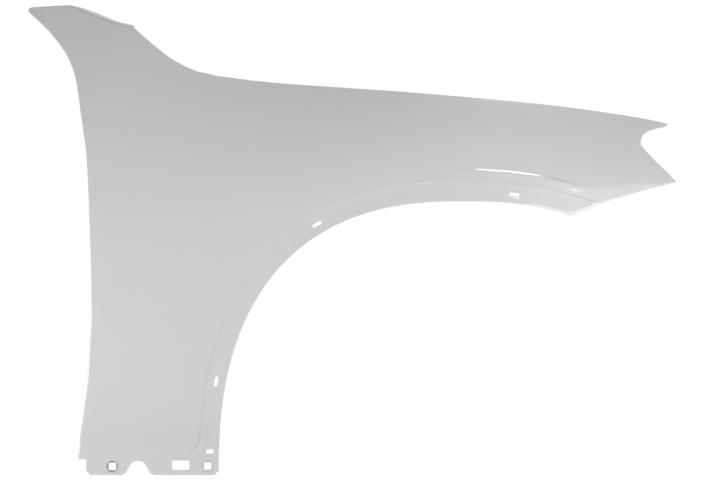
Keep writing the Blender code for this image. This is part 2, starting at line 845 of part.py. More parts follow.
def cut_away(panel, group):
    """Takes every cutter of a group out of the panel; those of one group never meet."""
    cut = panel.modifiers.new(group.name, "BOOLEAN")
    cut.operation = "DIFFERENCE"
    cut.operand_type = "COLLECTION"
    cut.collection = group


def cut_openings(panel, cutters, ledge, corners):
    """The seats first, as they add metal, then every opening in one cut."""
    radius = SEAT_RADIUS_SHARE * flange_height()
    square = SQUARE_HOLE_SHARE * flange_height()
    for number, share in enumerate(SEAT_SHARES, 1):
        spot = foot_place(share)
        name = f"seat_{number}"
        wide = radius + SHEET
        boss = cone_cutter(
            f"{name}_boss", cutters, wide, wide - SEAT_SLOPE, -SHEET / 2, SEAT_DEPTH, spot
        )
        union = panel.modifiers.new(name, "BOOLEAN")
        union.operation = "UNION"
        union.object = boss
    dishes = add_group(cutters, "fender_dishes")
    voids = add_group(cutters, "fender_openings")
    for number, share in enumerate(SEAT_SHARES, 1):
        spot = foot_place(share)
        floor = SEAT_DEPTH - SHEET
        tip = radius - SEAT_SLOPE
        cone_cutter(f"seat_{number}_dish", dishes, radius, tip, -2 * SHEET, floor, spot)
        size = (square, square)
        centre = (spot.x, CUT_REACH / 2, spot.y)
        rounded_cutter(f"square_hole_{number}", voids, size, HOLE_CORNER, centre, 0.0, "Y")
    holes = (
        ("long_hole", LONG_HOLE_SIZE_SHARES, LONG_HOLE_SHARES),
        ("small_hole", SMALL_HOLE_SIZE_SHARES, SMALL_HOLE_SHARES),
    )
    for name, size_shares, share in holes:
        spot = foot_place(share)
        size = [size_share * flange_height() for size_share in size_shares]
        centre = (spot.x, 0.0, spot.y)
        rounded_cutter(name, voids, size, HOLE_CORNER, centre, 0.0, "Y")
    notch_cutter(voids)
    for number, corner in enumerate(corners, 1):
        corner_cutter(f"sill_corner_{number}", voids, corner)
    for number, angle in enumerate(SLOT_ANGLES, 1):
        arch_cutter(f"slot_{number}", voids, SLOT_LENGTH, SLOT_WIDTH, angle, SLOT_SET_BACK)
    arch_cutter("slit", voids, SLIT_LENGTH, SLIT_WIDTH, SLIT_ANGLE, SLIT_SET_BACK)
    for number, angle in enumerate(DIMPLE_ANGLES, 1):
        dimple_cutter(f"dimple_{number}", voids, angle)
    cut_ledge(voids, ledge)
    cut_away(panel, dishes)
    cut_away(panel, voids)


def cut_ledge(voids, ledge):
    """Bolt slots in the ledge, and gaps between them that leave tabs."""
    last = len(ledge) - 1
    for number, share in enumerate(LEDGE_SLOT_COLUMN_SHARES, 1):
        spot = ledge[round(share * last)] - INBOARD * (LEDGE_WIDTH / 2)
        size = (LEDGE_SLOT_LENGTH, LEDGE_SLOT_WIDTH)
        corner = LEDGE_SLOT_WIDTH * SLOT_CORNER_SHARE
        rounded_cutter(f"ledge_slot_{number}", voids, size, corner, spot, 0.0, "Z")
    for number, share in enumerate(LEDGE_GAP_COLUMN_SHARES, 1):
        index = round(share * last)
        run = ledge[index + 1] - ledge[index - 1]
        turn = math.atan2(run.y, run.x)
        size = (LEDGE_GAP_LENGTH, 2.0 * LEDGE_GAP_REACH)
        corner = LEDGE_GAP_CORNER
        rounded_cutter(f"ledge_gap_{number}", voids, size, corner, ledge[index], turn, "Z")


# The object


def paint():
    material = bpy.data.materials.new("light_grey_paint")
    material.use_nodes = True
    shader = material.node_tree.nodes["Principled BSDF"]
    shader.inputs["Base Color"].default_value = PAINT_COLOUR
    shader.inputs["Roughness"].default_value = PAINT_ROUGHNESS
    shader.inputs["Metallic"].default_value = PAINT_METALLIC
    return material


def make_panel(parts, cutters):
    inner = inner_line()
    rims = rim_stretches(inner)
    bm = bmesh.new()
    add_skin(bm, rims, inner)
    corners = fold_sill(bm, rims, inner)
    ledge = [vert.co.copy() for vert in fold_flanges(bm, roll_edge(bm, rims))]
    panel = finish_object(bm, "fender_panel", parts)
    panel.data.materials.append(paint())
    panel.data.shade_smooth()
    solidify = panel.modifiers.new("sheet", "SOLIDIFY")
    solidify.thickness = SHEET
    solidify.offset = -1.0
    solidify.use_even_offset = True
    triangles = panel.modifiers.new("triangles", "TRIANGULATE")
    triangles.quad_method = "BEAUTY"
    cut_openings(panel, cutters, ledge, corners)
    shading = panel.modifiers.new("shading", "WEIGHTED_NORMAL")
    shading.keep_sharp = True


def main():
    for obj in list(bpy.data.objects):
        bpy.data.objects.remove(obj, do_unlink=True)
    parts = bpy.data.collections.new("car_fender")
    cutters = bpy.data.collections.new("car_fender_cutters")
    for collection in (parts, cutters):
        bpy.context.scene.collection.children.link(collection)
    make_panel(parts, cutters)


main()
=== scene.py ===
"""A car's right-hand front fender, pressed from one steel sheet and painted light grey.

Metres, +Z up. +X points to the front of the car and +Y to its middle, so the
painted face looks along -Y, towards the camera. The panel is modelled as the
press makes it: a skin in three patches, its edge rolled and folded inboard,
given the sheet's thickness, and then pierced.
"""

import logging
import math
from collections.abc import Callable, Iterator, Sequence
from contextlib import contextmanager
from dataclasses import dataclass, field
from enum import Enum

import bpy
import numpy as np
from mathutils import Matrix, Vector
from mathutils.kdtree import KDTree


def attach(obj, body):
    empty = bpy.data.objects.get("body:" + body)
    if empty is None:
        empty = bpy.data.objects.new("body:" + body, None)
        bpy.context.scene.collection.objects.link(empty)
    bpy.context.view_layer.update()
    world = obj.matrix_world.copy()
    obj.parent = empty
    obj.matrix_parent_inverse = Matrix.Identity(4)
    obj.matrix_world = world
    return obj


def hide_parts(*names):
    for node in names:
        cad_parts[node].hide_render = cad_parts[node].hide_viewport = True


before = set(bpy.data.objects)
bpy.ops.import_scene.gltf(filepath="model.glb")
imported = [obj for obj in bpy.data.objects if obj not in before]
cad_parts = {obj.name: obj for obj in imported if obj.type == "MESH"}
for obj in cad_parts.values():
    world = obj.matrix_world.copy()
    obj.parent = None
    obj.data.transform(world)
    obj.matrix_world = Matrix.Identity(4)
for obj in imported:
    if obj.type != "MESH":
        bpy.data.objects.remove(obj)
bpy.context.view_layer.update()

logging.basicConfig(level=logging.INFO, format="%(message)s")
LOG = logging.getLogger("fender")

Point = tuple[float, float]
INBOARD = Vector((0.0, 1.0, 0.0))

# What feeds a socket: a node, by its first output, or a node and its output.
Source = bpy.types.Node | tuple[bpy.types.Node, str | int]
# The sockets of a Mix node that mixes colours, by number, because some share their names.
MIX_A, MIX_B, MIX_RESULT = 6, 7, 2


class Edge(Enum):
    """The named stretches of the panel's outline, clockwise from the foot of the door edge."""

    DOOR = "door"
    SPIKE = "spike"
    PILLAR = "pillar"
    COWL = "cowl"
    HOOD = "hood"
    LAMP = "lamp"
    BUMPER = "bumper"
    CLOSING = "closing"
    ARCH = "arch"


def linear(hex_colour: str) -> tuple[float, float, float, float]:
    """Turn an sRGB hex colour into linear red, green, blue and alpha.

    Args:
        hex_colour: The colour as six hex digits.

    Returns:
        The four values that a shader socket takes.
    """
    channels = [int(hex_colour[start : start + 2], 16) / 255 for start in (0, 2, 4)]
    curved = [c / 12.92 if c <= 0.04045 else ((c + 0.055) / 1.055) ** 2.4 for c in channels]
    return curved[0], curved[1], curved[2], 1.0


def smooth(value: float, start: float, end: float) -> float:
    """Rise smoothly from 0 at start to 1 at end.

    Args:
        value: Where on the ramp.
        start: Where the ramp starts.
        end: Where it ends.

    Returns:
        A share from 0 to 1.
    """
    t = min(max((value - start) / (end - start), 0.0), 1.0)
    return t * t * (3.0 - 2.0 * t)


def blend(first: float, second: float, share: float) -> float:
    """Mix two numbers.

    Args:
        first: The number at share 0.
        second: The number at share 1.
        share: How far from the first to the second.

    Returns:
        The mixed number.
    """
    return first + (second - first) * share


def curve_through(points: Sequence[Vector], steps: int = 24) -> list[Vector]:
    """Draw a fine polyline along a smooth curve through some points.

    Args:
        points: The points that the curve passes through.
        steps: Segments between two neighbours.

    Returns:
        The polyline.
    """
    ends = [2 * points[0] - points[1], *points, 2 * points[-1] - points[-2]]
    line = [points[0].copy()]
    for a, b, c, d in zip(ends, ends[1:], ends[2:], ends[3:]):
        for step in range(1, steps + 1):
            t = step / steps
            point = 2 * b + (c - a) * t
            point += (2 * a - 5 * b + 4 * c - d) * t**2
            point += (3 * b - a - 3 * c + d) * t**3
            line.append(point / 2)
    return line


def running_lengths(line: Sequence[Vector]) -> list[float]:
    """Measure how far along a polyline each of its points lies.

    Args:
        line: The polyline.

    Returns:
        Rising lengths in metres, from 0.
    """
    run = [0.0]
    for a, b in zip(line, line[1:]):
        run.append(run[-1] + (b - a).length)
    return run


def line_length(line: Sequence[Vector]) -> float:
    """Give a polyline's whole length."""
    return running_lengths(line)[-1]


def at_shares(line: Sequence[Vector], shares: Sequence[float]) -> list[Vector]:
    """Find the points of a polyline at some shares of its length.

    Args:
        line: The polyline.
        shares: Rising shares from 0 to 1.

    Returns:
        One point for each share.
    """
    run = running_lengths(line)
    found = []
    index = 1
    for share in shares:
        goal = share * run[-1]
        while index < len(run) - 1 and run[index] < goal:
            index += 1
        span = run[index] - run[index - 1]
        t = min(max((goal - run[index - 1]) / span, 0.0), 1.0)
        found.append(line[index - 1].lerp(line[index], t))
    return found


def running_shares(line: Sequence[Vector]) -> list[float]:
    """Give the share of a polyline's length at which each of its points lies.

    Args:
        line: The polyline.

    Returns:
        Rising shares from 0 to 1.
    """
    run = running_lengths(line)
    return [at / run[-1] for at in run]


def in_space(point: Vector, depth: float = 0.0) -> Vector:
    """Give a point (x, z) its place in space, at a depth inboard."""
    return Vector((point.x, depth, point.y))


def search_tree(places: Sequence[Vector], first: int = 0) -> KDTree:
    """Make a search tree.

    Args:
        places: The places that it finds.
        first: The number of the first one.

    Returns:
        The tree.
    """
    tree = KDTree(len(places))
    for number, place in enumerate(places, first):
        tree.insert(place, number)
    tree.balance()
    return tree


def even(count: int, start: float = 0.0, end: float = 1.0) -> list[float]:
    """Cut a stretch of a length into equal steps.

    Args:
        count: How many steps.
        start: The share where it starts.
        end: The share where it ends.

    Returns:
        One share more than there are steps.
    """
    return [blend(start, end, step / count) for step in range(count + 1)]


def spread(length: float, count: int, near: Sequence[float], far: Sequence[float]) -> list[float]:
    """Share out a length with stated distances at its two ends and even steps between them.

    Args:
        length: The whole length.
        count: How many steps in all.
        near: Rising distances from the start, from 0.
        far: Rising distances from the end, from 0.

    Returns:
        Rising shares of the length, one more than there are steps.
    """
    start = near[-1] / length
    end = 1.0 - far[-1] / length
    middle = even(count - len(near) - len(far) + 2, start, end)
    first = [distance / length for distance in near[:-1]]
    last = [1.0 - distance / length for distance in reversed(far[:-1])]
    return [*first, *middle, *last]


@dataclass(frozen=True)
class Outline:
    """The skin's outline as shares of the panel's length and height."""

    length: float = 1.177
    height: float = 0.851
    origin: Point = (0.2110, 0.0169)
    door: Sequence[Point] = (
        (0.0823, 0.0332),
        (0.0866, 0.0872),
        (0.0957, 0.1876),
        (0.1027, 0.3050),
        (0.1033, 0.3893),
        (0.1014, 0.5076),
        (0.0967, 0.6426),
        (0.0935, 0.6934),
        (0.0878, 0.7437),
        (0.0841, 0.7773),
        (0.0783, 0.8281),
        (0.0717, 0.8611),
        (0.0611, 0.8923),
        (0.0466, 0.9209),
        (0.0300, 0.9471),
        (0.0117, 0.9716),
        (0.0018, 0.9839),
        (0.0002, 0.9880),
    )
    spike: Sequence[Point] = (
        (0.0002, 0.9880),
        (0.0015, 0.9930),
        (0.0060, 0.9953),
        (0.0305, 0.9977),
        (0.0631, 1.0000),
    )
    pillar: Sequence[Point] = (
        (0.0631, 1.0000),
        (0.0880, 0.9830),
        (0.1118, 0.9700),
        (0.1352, 0.9590),
        (0.1507, 0.9540),
        (0.1639, 0.9514),
    )
    cowl: Sequence[Point] = (
        (0.1639, 0.9514),
        (0.1847, 0.9261),
        (0.2038, 0.9040),
        (0.2237, 0.8833),
        (0.2453, 0.8667),
        (0.2683, 0.8543),
        (0.2922, 0.8470),
    )
    hood: Sequence[Point] = (
        (0.2922, 0.8470),
        (0.3651, 0.8342),
        (0.4384, 0.8260),
        (0.5363, 0.8164),
        (0.6096, 0.8085),
        (0.7559, 0.7907),
        (0.8294, 0.7801),
        (0.9032, 0.7669),
        (0.9527, 0.7564),
        (0.9893, 0.7466),
    )
    lamp: Sequence[Point] = (
        (1.0000, 0.6204),
        (0.9869, 0.6398),
        (0.9694, 0.6635),
        (0.9528, 0.6878),
        (0.9467, 0.6989),
        (0.9462, 0.7079),
        (0.9490, 0.7186),
        (0.9590, 0.7289),
        (0.9712, 0.7348),
        (0.9839, 0.7379),
        (0.9873, 0.7396),
        (0.9889, 0.7428),
        (0.9893, 0.7466),
    )
    bumper_bow: float = 0.007

    def place(self, share: Point) -> Vector:
        """Turn a pair of shares into a point in metres.

        Args:
            share: The point's shares of the length and the height.

        Returns:
            The point as (x, z).
        """
        x = (share[0] - self.origin[0]) * self.length
        z = (share[1] - self.origin[1]) * self.height
        return Vector((x, z))

    def curve(self, shares: Sequence[Point]) -> list[Vector]:
        """Draw a fine line through a table of shares."""
        return curve_through([self.place(share) for share in shares])


@dataclass(frozen=True)
class WheelArch:
    """The arch edge, which is half of a rounded square, and the band that goes round it."""

    outline: Outline = Outline()
    half_length: float = 0.443
    rise: float = 0.498
    squareness: float = 2.483
    centre_shares: Point = (0.6740, -0.0065)
    front_angle: float = 68.0
    step_front_angle: float = 63.3
    turn_start: float = 0.6
    band_width: float = 0.036
    band_width_shares: Sequence[Point] = (
        (175.5, 1.58),
        (172.3, 1.14),
        (167.6, 1.05),
        (161.4, 1.09),
        (155.8, 1.09),
        (148.3, 1.04),
        (141.4, 1.03),
        (133.5, 0.92),
        (125.4, 0.92),
        (117.4, 0.96),
        (110.3, 0.96),
        (102.5, 1.01),
        (92.9, 1.04),
        (83.3, 1.01),
        (73.6, 1.00),
        (65.8, 1.08),
        (63.3, 1.25),
    )

    @property
    def centre(self) -> Vector:
        """The middle of the rounded square, as (x, z)."""
        return self.outline.place(self.centre_shares)

    def point(self, degrees: float, set_back: float = 0.0) -> Vector:
        """Find a point of the arch edge, or one further out.

        Args:
            degrees: The angle round the centre, from the front.
            set_back: How far outside the edge the point lies.

        Returns:
            The point as (x, z).
        """
        ray = Vector((math.cos(math.radians(degrees)), math.sin(math.radians(degrees))))
        along = abs(ray.x) / self.half_length
        up = abs(ray.y) / self.rise
        radius = (along**self.squareness + up**self.squareness) ** (-1.0 / self.squareness)
        return self.centre + ray * (radius + set_back)

    def angle(self, point: Vector) -> float:
        """Give the angle of a point round the centre, in degrees."""
        return math.degrees(math.atan2(point.y - self.centre.y, point.x - self.centre.x))

    def step_line(self, steps: int = 400) -> list[Vector]:
        """Draw the top of the band's step, from the sill to the front.

        Args:
            steps: How many segments the line has.

        Returns:
            The line as points (x, z).
        """
        knots = [
            self.point(degrees, self.band_width * share)
            for degrees, share in self.band_width_shares
        ]
        return at_shares(curve_through(knots), even(steps))


@dataclass(frozen=True)
class SkinForm:
    """How far inboard of the sill flange each point of the painted face lies."""

    outline: Outline = Outline()
    arch: WheelArch = WheelArch()
    sheet: float = 0.0008
    side_depth: float = 0.028
    rear_crown_radius: float = 0.780
    front_crown_radius: float = 0.232
    rear_widest: float = 0.4543
    front_widest: float = 0.6025
    crown_reach: Point = (0.1161, 0.6515)
    crest_share: float = 0.6821
    nose_sweep: float = 0.080
    nose_sweep_power: float = 2.2
    nose_twist: float = 0.050
    nose_twist_power: float = 1.5
    twist_easing: float = 0.035
    rear_sweep: float = 0.016
    rear_sweep_power: float = 1.6
    sill_tuck: float = 0.012
    sill_tuck_share: float = 0.3700
    flange_reach: Point = (0.0325, 0.1150)
    band_depth: float = 0.0034
    band_steps: Point = (0.0030, 0.0065)
    band_step_angles: Point = (105.0, 150.0)
    lip_depth: float = 0.0016
    lip_width: float = 0.0045
    lip_distances: Point = (0.0185, 0.0060)
    lip_heights: Point = (0.0545, 0.2180)
    lip_flare: float = 2.2
    lip_angles: Point = (152.0, 160.0)
    band_foot: Point = (0.0335, 0.0560)
    crease_heights: Point = (0.0010, 0.0029)
    crease_reach: Point = (0.640, 0.872)
    crease_run_in: Point = (0.25, 0.72)
    crease_distances: Point = (0.0186, 0.0245)
    crease_widths: Point = (0.0170, 0.0054)
    crease_fade: float = 0.075

    def crown_blend(self, x: float) -> float:
        """Give the share of the front crown at a place along the car."""
        start, end = (self.outline.place((share, 0.0)).x for share in self.crown_reach)
        return smooth(x, start, end)

    def skin(self, x: float, z: float) -> float:
        """Give the depth of the plain skin, without its band, step and crease.

        Args:
            x: How far forward.
            z: How high.

        Returns:
            The inboard coordinate of the painted face.
        """
        place = self.outline.place
        tip = place(self.outline.lamp[0])
        tail = place(self.outline.door[0])
        crest = place((self.crest_share, self.front_widest))
        front = self.crown_blend(x)
        widest = blend(place((0.0, self.rear_widest)).y, crest.y, front)
        ahead = max(x - crest.x, 0.0) / (tip.x - crest.x)
        behind = max(crest.x - x, 0.0) / (crest.x - tail.x)
        above = max(z - widest, 0.0)
        tuck_top = place((0.0, self.sill_tuck_share)).y
        below = max(tuck_top - z, 0.0) / (tuck_top - tail.y)
        curvature = blend(1.0 / self.rear_crown_radius, 1.0 / self.front_crown_radius, front)
        nose_rise = place(self.outline.lamp[-1]).y - crest.y
        depth = above * above * curvature / 2.0
        depth += self.nose_sweep * ahead**self.nose_sweep_power
        eased = above * above / (above + self.twist_easing) * (1.0 + self.twist_easing / nose_rise)
        depth += self.nose_twist * ahead**self.nose_twist_power * eased / nose_rise
        depth += self.rear_sweep * behind**self.rear_sweep_power
        depth += self.sill_tuck * below**2 - self.side_depth
        return blend(-self.sheet, depth, self.above_flange(z))

    def above_flange(self, z: float) -> float:
        """Give 0 on the flat sill flange and 1 where the skin is free of it."""
        low, high = (self.outline.place((0.0, share)).y for share in self.flange_reach)
        return smooth(z, low, high)

    def band(self, point: Vector, from_step: float) -> float:
        """Give the depth of the band's floor.

        Args:
            point: The place as (x, z).
            from_step: How far it lies from the step line.

        Returns:
            The inboard coordinate of the painted face.
        """
        angle = self.arch.angle(point)
        width = blend(*self.band_steps, smooth(angle, *self.band_step_angles))
        drop = self.band_depth * smooth(from_step, 0.0, width)
        low_end = smooth(angle, *self.lip_angles)
        lip = self.lip_distance(point.y)
        drop += self.lip_depth * low_end * smooth(from_step, lip, lip + self.lip_width)
        foot, free = (self.outline.place((0.0, share)).y for share in self.band_foot)
        return self.skin(point.x, point.y) + drop * smooth(point.y, foot, free)

    def lip_distance(self, z: float) -> float:
        """Give how far the lip line lies from the step line, which it leaves downwards.

        Args:
            z: How high.

        Returns:
            The distance across the band.
        """
        low, high = (self.outline.place((0.0, share)).y for share in self.lip_heights)
        below = min(max((high - z) / (high - low), 0.0), 1.0)
        return blend(self.lip_distances[1], self.lip_distances[0], below**self.lip_flare)

    def crease(self, x: float, from_step: float) -> float:
        """Give the form of the flare's crease: a low ridge, a straight side and a shallow hollow.

        Args:
            x: How far forward.
            from_step: How far above the step line.

        Returns:
            How far the crease stands out of the skin, or less than 0 in the hollow above it.
        """
        start, end = (self.outline.place((share, 0.0)).x for share in self.crease_reach)
        t = min(max((x - start) / (end - start), 0.0), 1.0)
        ridge = blend(*self.crease_distances, t)
        lead, side = self.crease_widths
        out, back = self.crease_heights
        foot = ridge + side
        rise = smooth(t, 0.0, self.crease_run_in[0]) * smooth(t, 1.0, self.crease_run_in[1])
        if from_step < ridge:
            return out * rise * smooth(from_step, ridge - lead, ridge)
        if from_step < foot:
            return rise * blend(out, -back, (from_step - ridge) / side)
        return -back * rise * smooth(from_step, foot + self.crease_fade, foot)


@dataclass(frozen=True)
class MeshGrain:
    """How finely the patches are cut, and where their seams run."""

    leg_rows: int = 84
    cowl_rows: int = 30
    pillar_rows: int = 24
    rear_columns: int = 44
    wing_columns: int = 132
    nose_columns: int = 34
    wing_rows: int = 60
    band_rows: int = 30
    roll_steps: int = 6
    edge_spacing: float = 0.0009
    step_spacing: float = 0.0011
    step_rows: int = 8
    crease_spacing: float = 0.00105
    crease_rows: int = 28
    leg_seam_share: float = 0.434
    door_seam_shares: Point = (0.52, 0.76)
    bumper_steps: int = 200
    spike_pull_start: float = 0.80
    lamp_pull_power: int = 6
    merge_distance: float = 0.000008
    return_steps: int = 4
    sill_steps: int = 20
    smooth_angle: float = 38.0


@dataclass
class Rim:
    """One point of the outline: where it is, which way it faces and how far its edge is rolled."""

    edge: Edge
    point: Vector
    outward: Vector = field(default_factory=Vector)
    roll: float = 1.0

    def offset(self, start: Vector, outward: float, inboard: float) -> Vector:
        """Give the point this far outward and inboard of a starting point."""
        return start + in_space(self.outward) * outward + INBOARD * inboard


@dataclass(frozen=True)
class Folds:
    """The rolled edge and the flanges folded on from it.

    The strip's profile lists its points, each as an outward distance in sheets and in
    widths of the strip, and a depth in joggles.
    """

    roll_radius: float = 0.0015
    roll_fade: float = 0.006
    roll_search: float = 0.0085
    roll_neighbours: int = 3
    bend_radius: float = 0.0020
    bend_steps: int = 4
    door_return: float = 0.014
    door_free_share: float = 0.27
    cowl_return: float = 0.012
    lamp_return: float = 0.011
    bumper_return: float = 0.018
    arch_return: float = 0.021
    strip_width: float = 0.0072
    strip_joggle: float = 0.0030
    strip_start: float = 0.002
    strip_width_shares: Sequence[float] = (0.00, 0.88, 1.0, 0.85, 0.62, 0.50)
    strip_profile: Sequence[tuple[float, float, float]] = (
        (0.3, 0.0, 0.25),
        (0.6, 0.0, 0.6),
        (1.0, 0.0, 0.9),
        (1.6, 0.0, 1.0),
        (1.0, 0.5, 1.0),
        (1.0, 1.0, 1.0),
    )
    gutter_drop: float = 0.013
    gutter_set_in: float = 0.006
    ledge_width: float = 0.027
    sill_set_in: float = 0.0150
    relief: float = 0.006
    lamp_relief: float = 0.030
    hood_relief: float = 0.060

    def rounded(self, moves: Sequence[Point]) -> list[Point]:
        """Round the bends of a fold's section.

        Args:
            moves: The section's corners, each as its outward and inboard distance
                from the rim, starting at the rim itself.

        Returns:
            The section with an arc at each inner corner, without the rim.
        """
        corners = [Vector(move) for move in moves]
        path = [corners[0]]
        for before, corner, after in zip(corners, corners[1:], corners[2:]):
            leaving = (before - corner).normalized()
            going = (after - corner).normalized()
            half = leaving.angle(going) / 2
            reach = self.bend_radius / math.tan(half)
            start = corner + leaving * reach
            end = corner + going * reach
            for share in even(self.bend_steps):
                first = start.lerp(corner, share)
                path.append(first.lerp(corner.lerp(end, share), share))
        path.append(corners[-1])
        return [(point.x, point.y) for point in path[1:]]


class Bench:
    """The few mesh operations by hand that the panel needs, in Blender's own operators."""

    @staticmethod
    @contextmanager
    def editing() -> Iterator[None]:
        """Work in edit mode for a while."""
        bpy.ops.object.mode_set(mode="EDIT")
        yield
        bpy.ops.object.mode_set(mode="OBJECT")

    @staticmethod
    def clear_selection() -> None:
        """Deselect every object."""
        bpy.ops.object.select_all(action="DESELECT")

    @staticmethod
    def pick(*objects: bpy.types.Object) -> None:
        """Select some objects and make the first the active one.

        Args:
            objects: The objects.
        """
        Bench.clear_selection()
        for obj in objects:
            obj.select_set(True)
        bpy.context.view_layer.objects.active = objects[0]

    @staticmethod
    def grid(name: str, spots: dict[tuple[int, int], Vector]) -> bpy.types.Object:
        """Add a grid and lay its crossings on their places.

        Args:
            name: The new object's name.
            spots: The place of each crossing, by column and row.

        Returns:
            The patch.
        """
        columns, rows = max(spots)
        Bench.clear_selection()
        bpy.ops.mesh.primitive_grid_add(
            x_subdivisions=columns, y_subdivisions=rows, size=1.0, location=(0.0, 0.0, 0.0)
        )
        patch = bpy.context.object
        patch.name = name
        for vert in patch.data.vertices:
            column = round((vert.co.x + 0.5) * columns)
            row = round((vert.co.y + 0.5) * rows)
            vert.co = spots[column, row]
        return patch

    @staticmethod
    def sew(name: str, patches: Sequence[bpy.types.Object], gap: float) -> bpy.types.Object:
        """Join patches and merge the points that they share.

        Args:
            name: The name of what they become.
            patches: The patches.
            gap: How near two points are merged.

        Returns:
            The joined object.
        """
        Bench.pick(*patches)
        bpy.ops.object.join()
        sheet = bpy.context.object
        sheet.name = name
        with Bench.editing():
            bpy.ops.mesh.select_all(action="SELECT")
            bpy.ops.mesh.remove_doubles(threshold=gap)
            bpy.ops.mesh.select_all(action="DESELECT")
        return sheet

    @staticmethod
    def extrude(sheet: bpy.types.Object, ring: Sequence[int]) -> list[int]:
        """Extrude the edges between neighbouring points of a ring.

        Args:
            sheet: The mesh object.
            ring: The points' numbers, in order.

        Returns:
            The numbers of the new points, in the same order and still at the same places.
        """
        mesh = sheet.data
        wanted = {frozenset(pair) for pair in zip(ring, ring[1:])}
        flags = [frozenset(edge.vertices) in wanted for edge in mesh.edges]
        mesh.polygons.foreach_set("select", [False] * len(mesh.polygons))
        mesh.vertices.foreach_set("select", [False] * len(mesh.vertices))
        mesh.edges.foreach_set("select", flags)
        first_new = len(mesh.vertices)
        Bench.pick(sheet)
        with Bench.editing():
            bpy.context.tool_settings.mesh_select_mode = (False, True, False)
            bpy.ops.mesh.extrude_edges_indiv()
            bpy.ops.mesh.select_all(action="DESELECT")
        tree = search_tree([vert.co for vert in mesh.vertices[first_new:]], first_new)
        return [tree.find(mesh.vertices[index].co)[1] for index in ring]

    @staticmethod
    def apply_all(obj: bpy.types.Object) -> None:
        """Apply every modifier of an object, in order.

        Args:
            obj: The object.
        """
        Bench.pick(obj)
        for modifier in list(obj.modifiers):
            bpy.ops.object.modifier_apply(modifier=modifier.name)


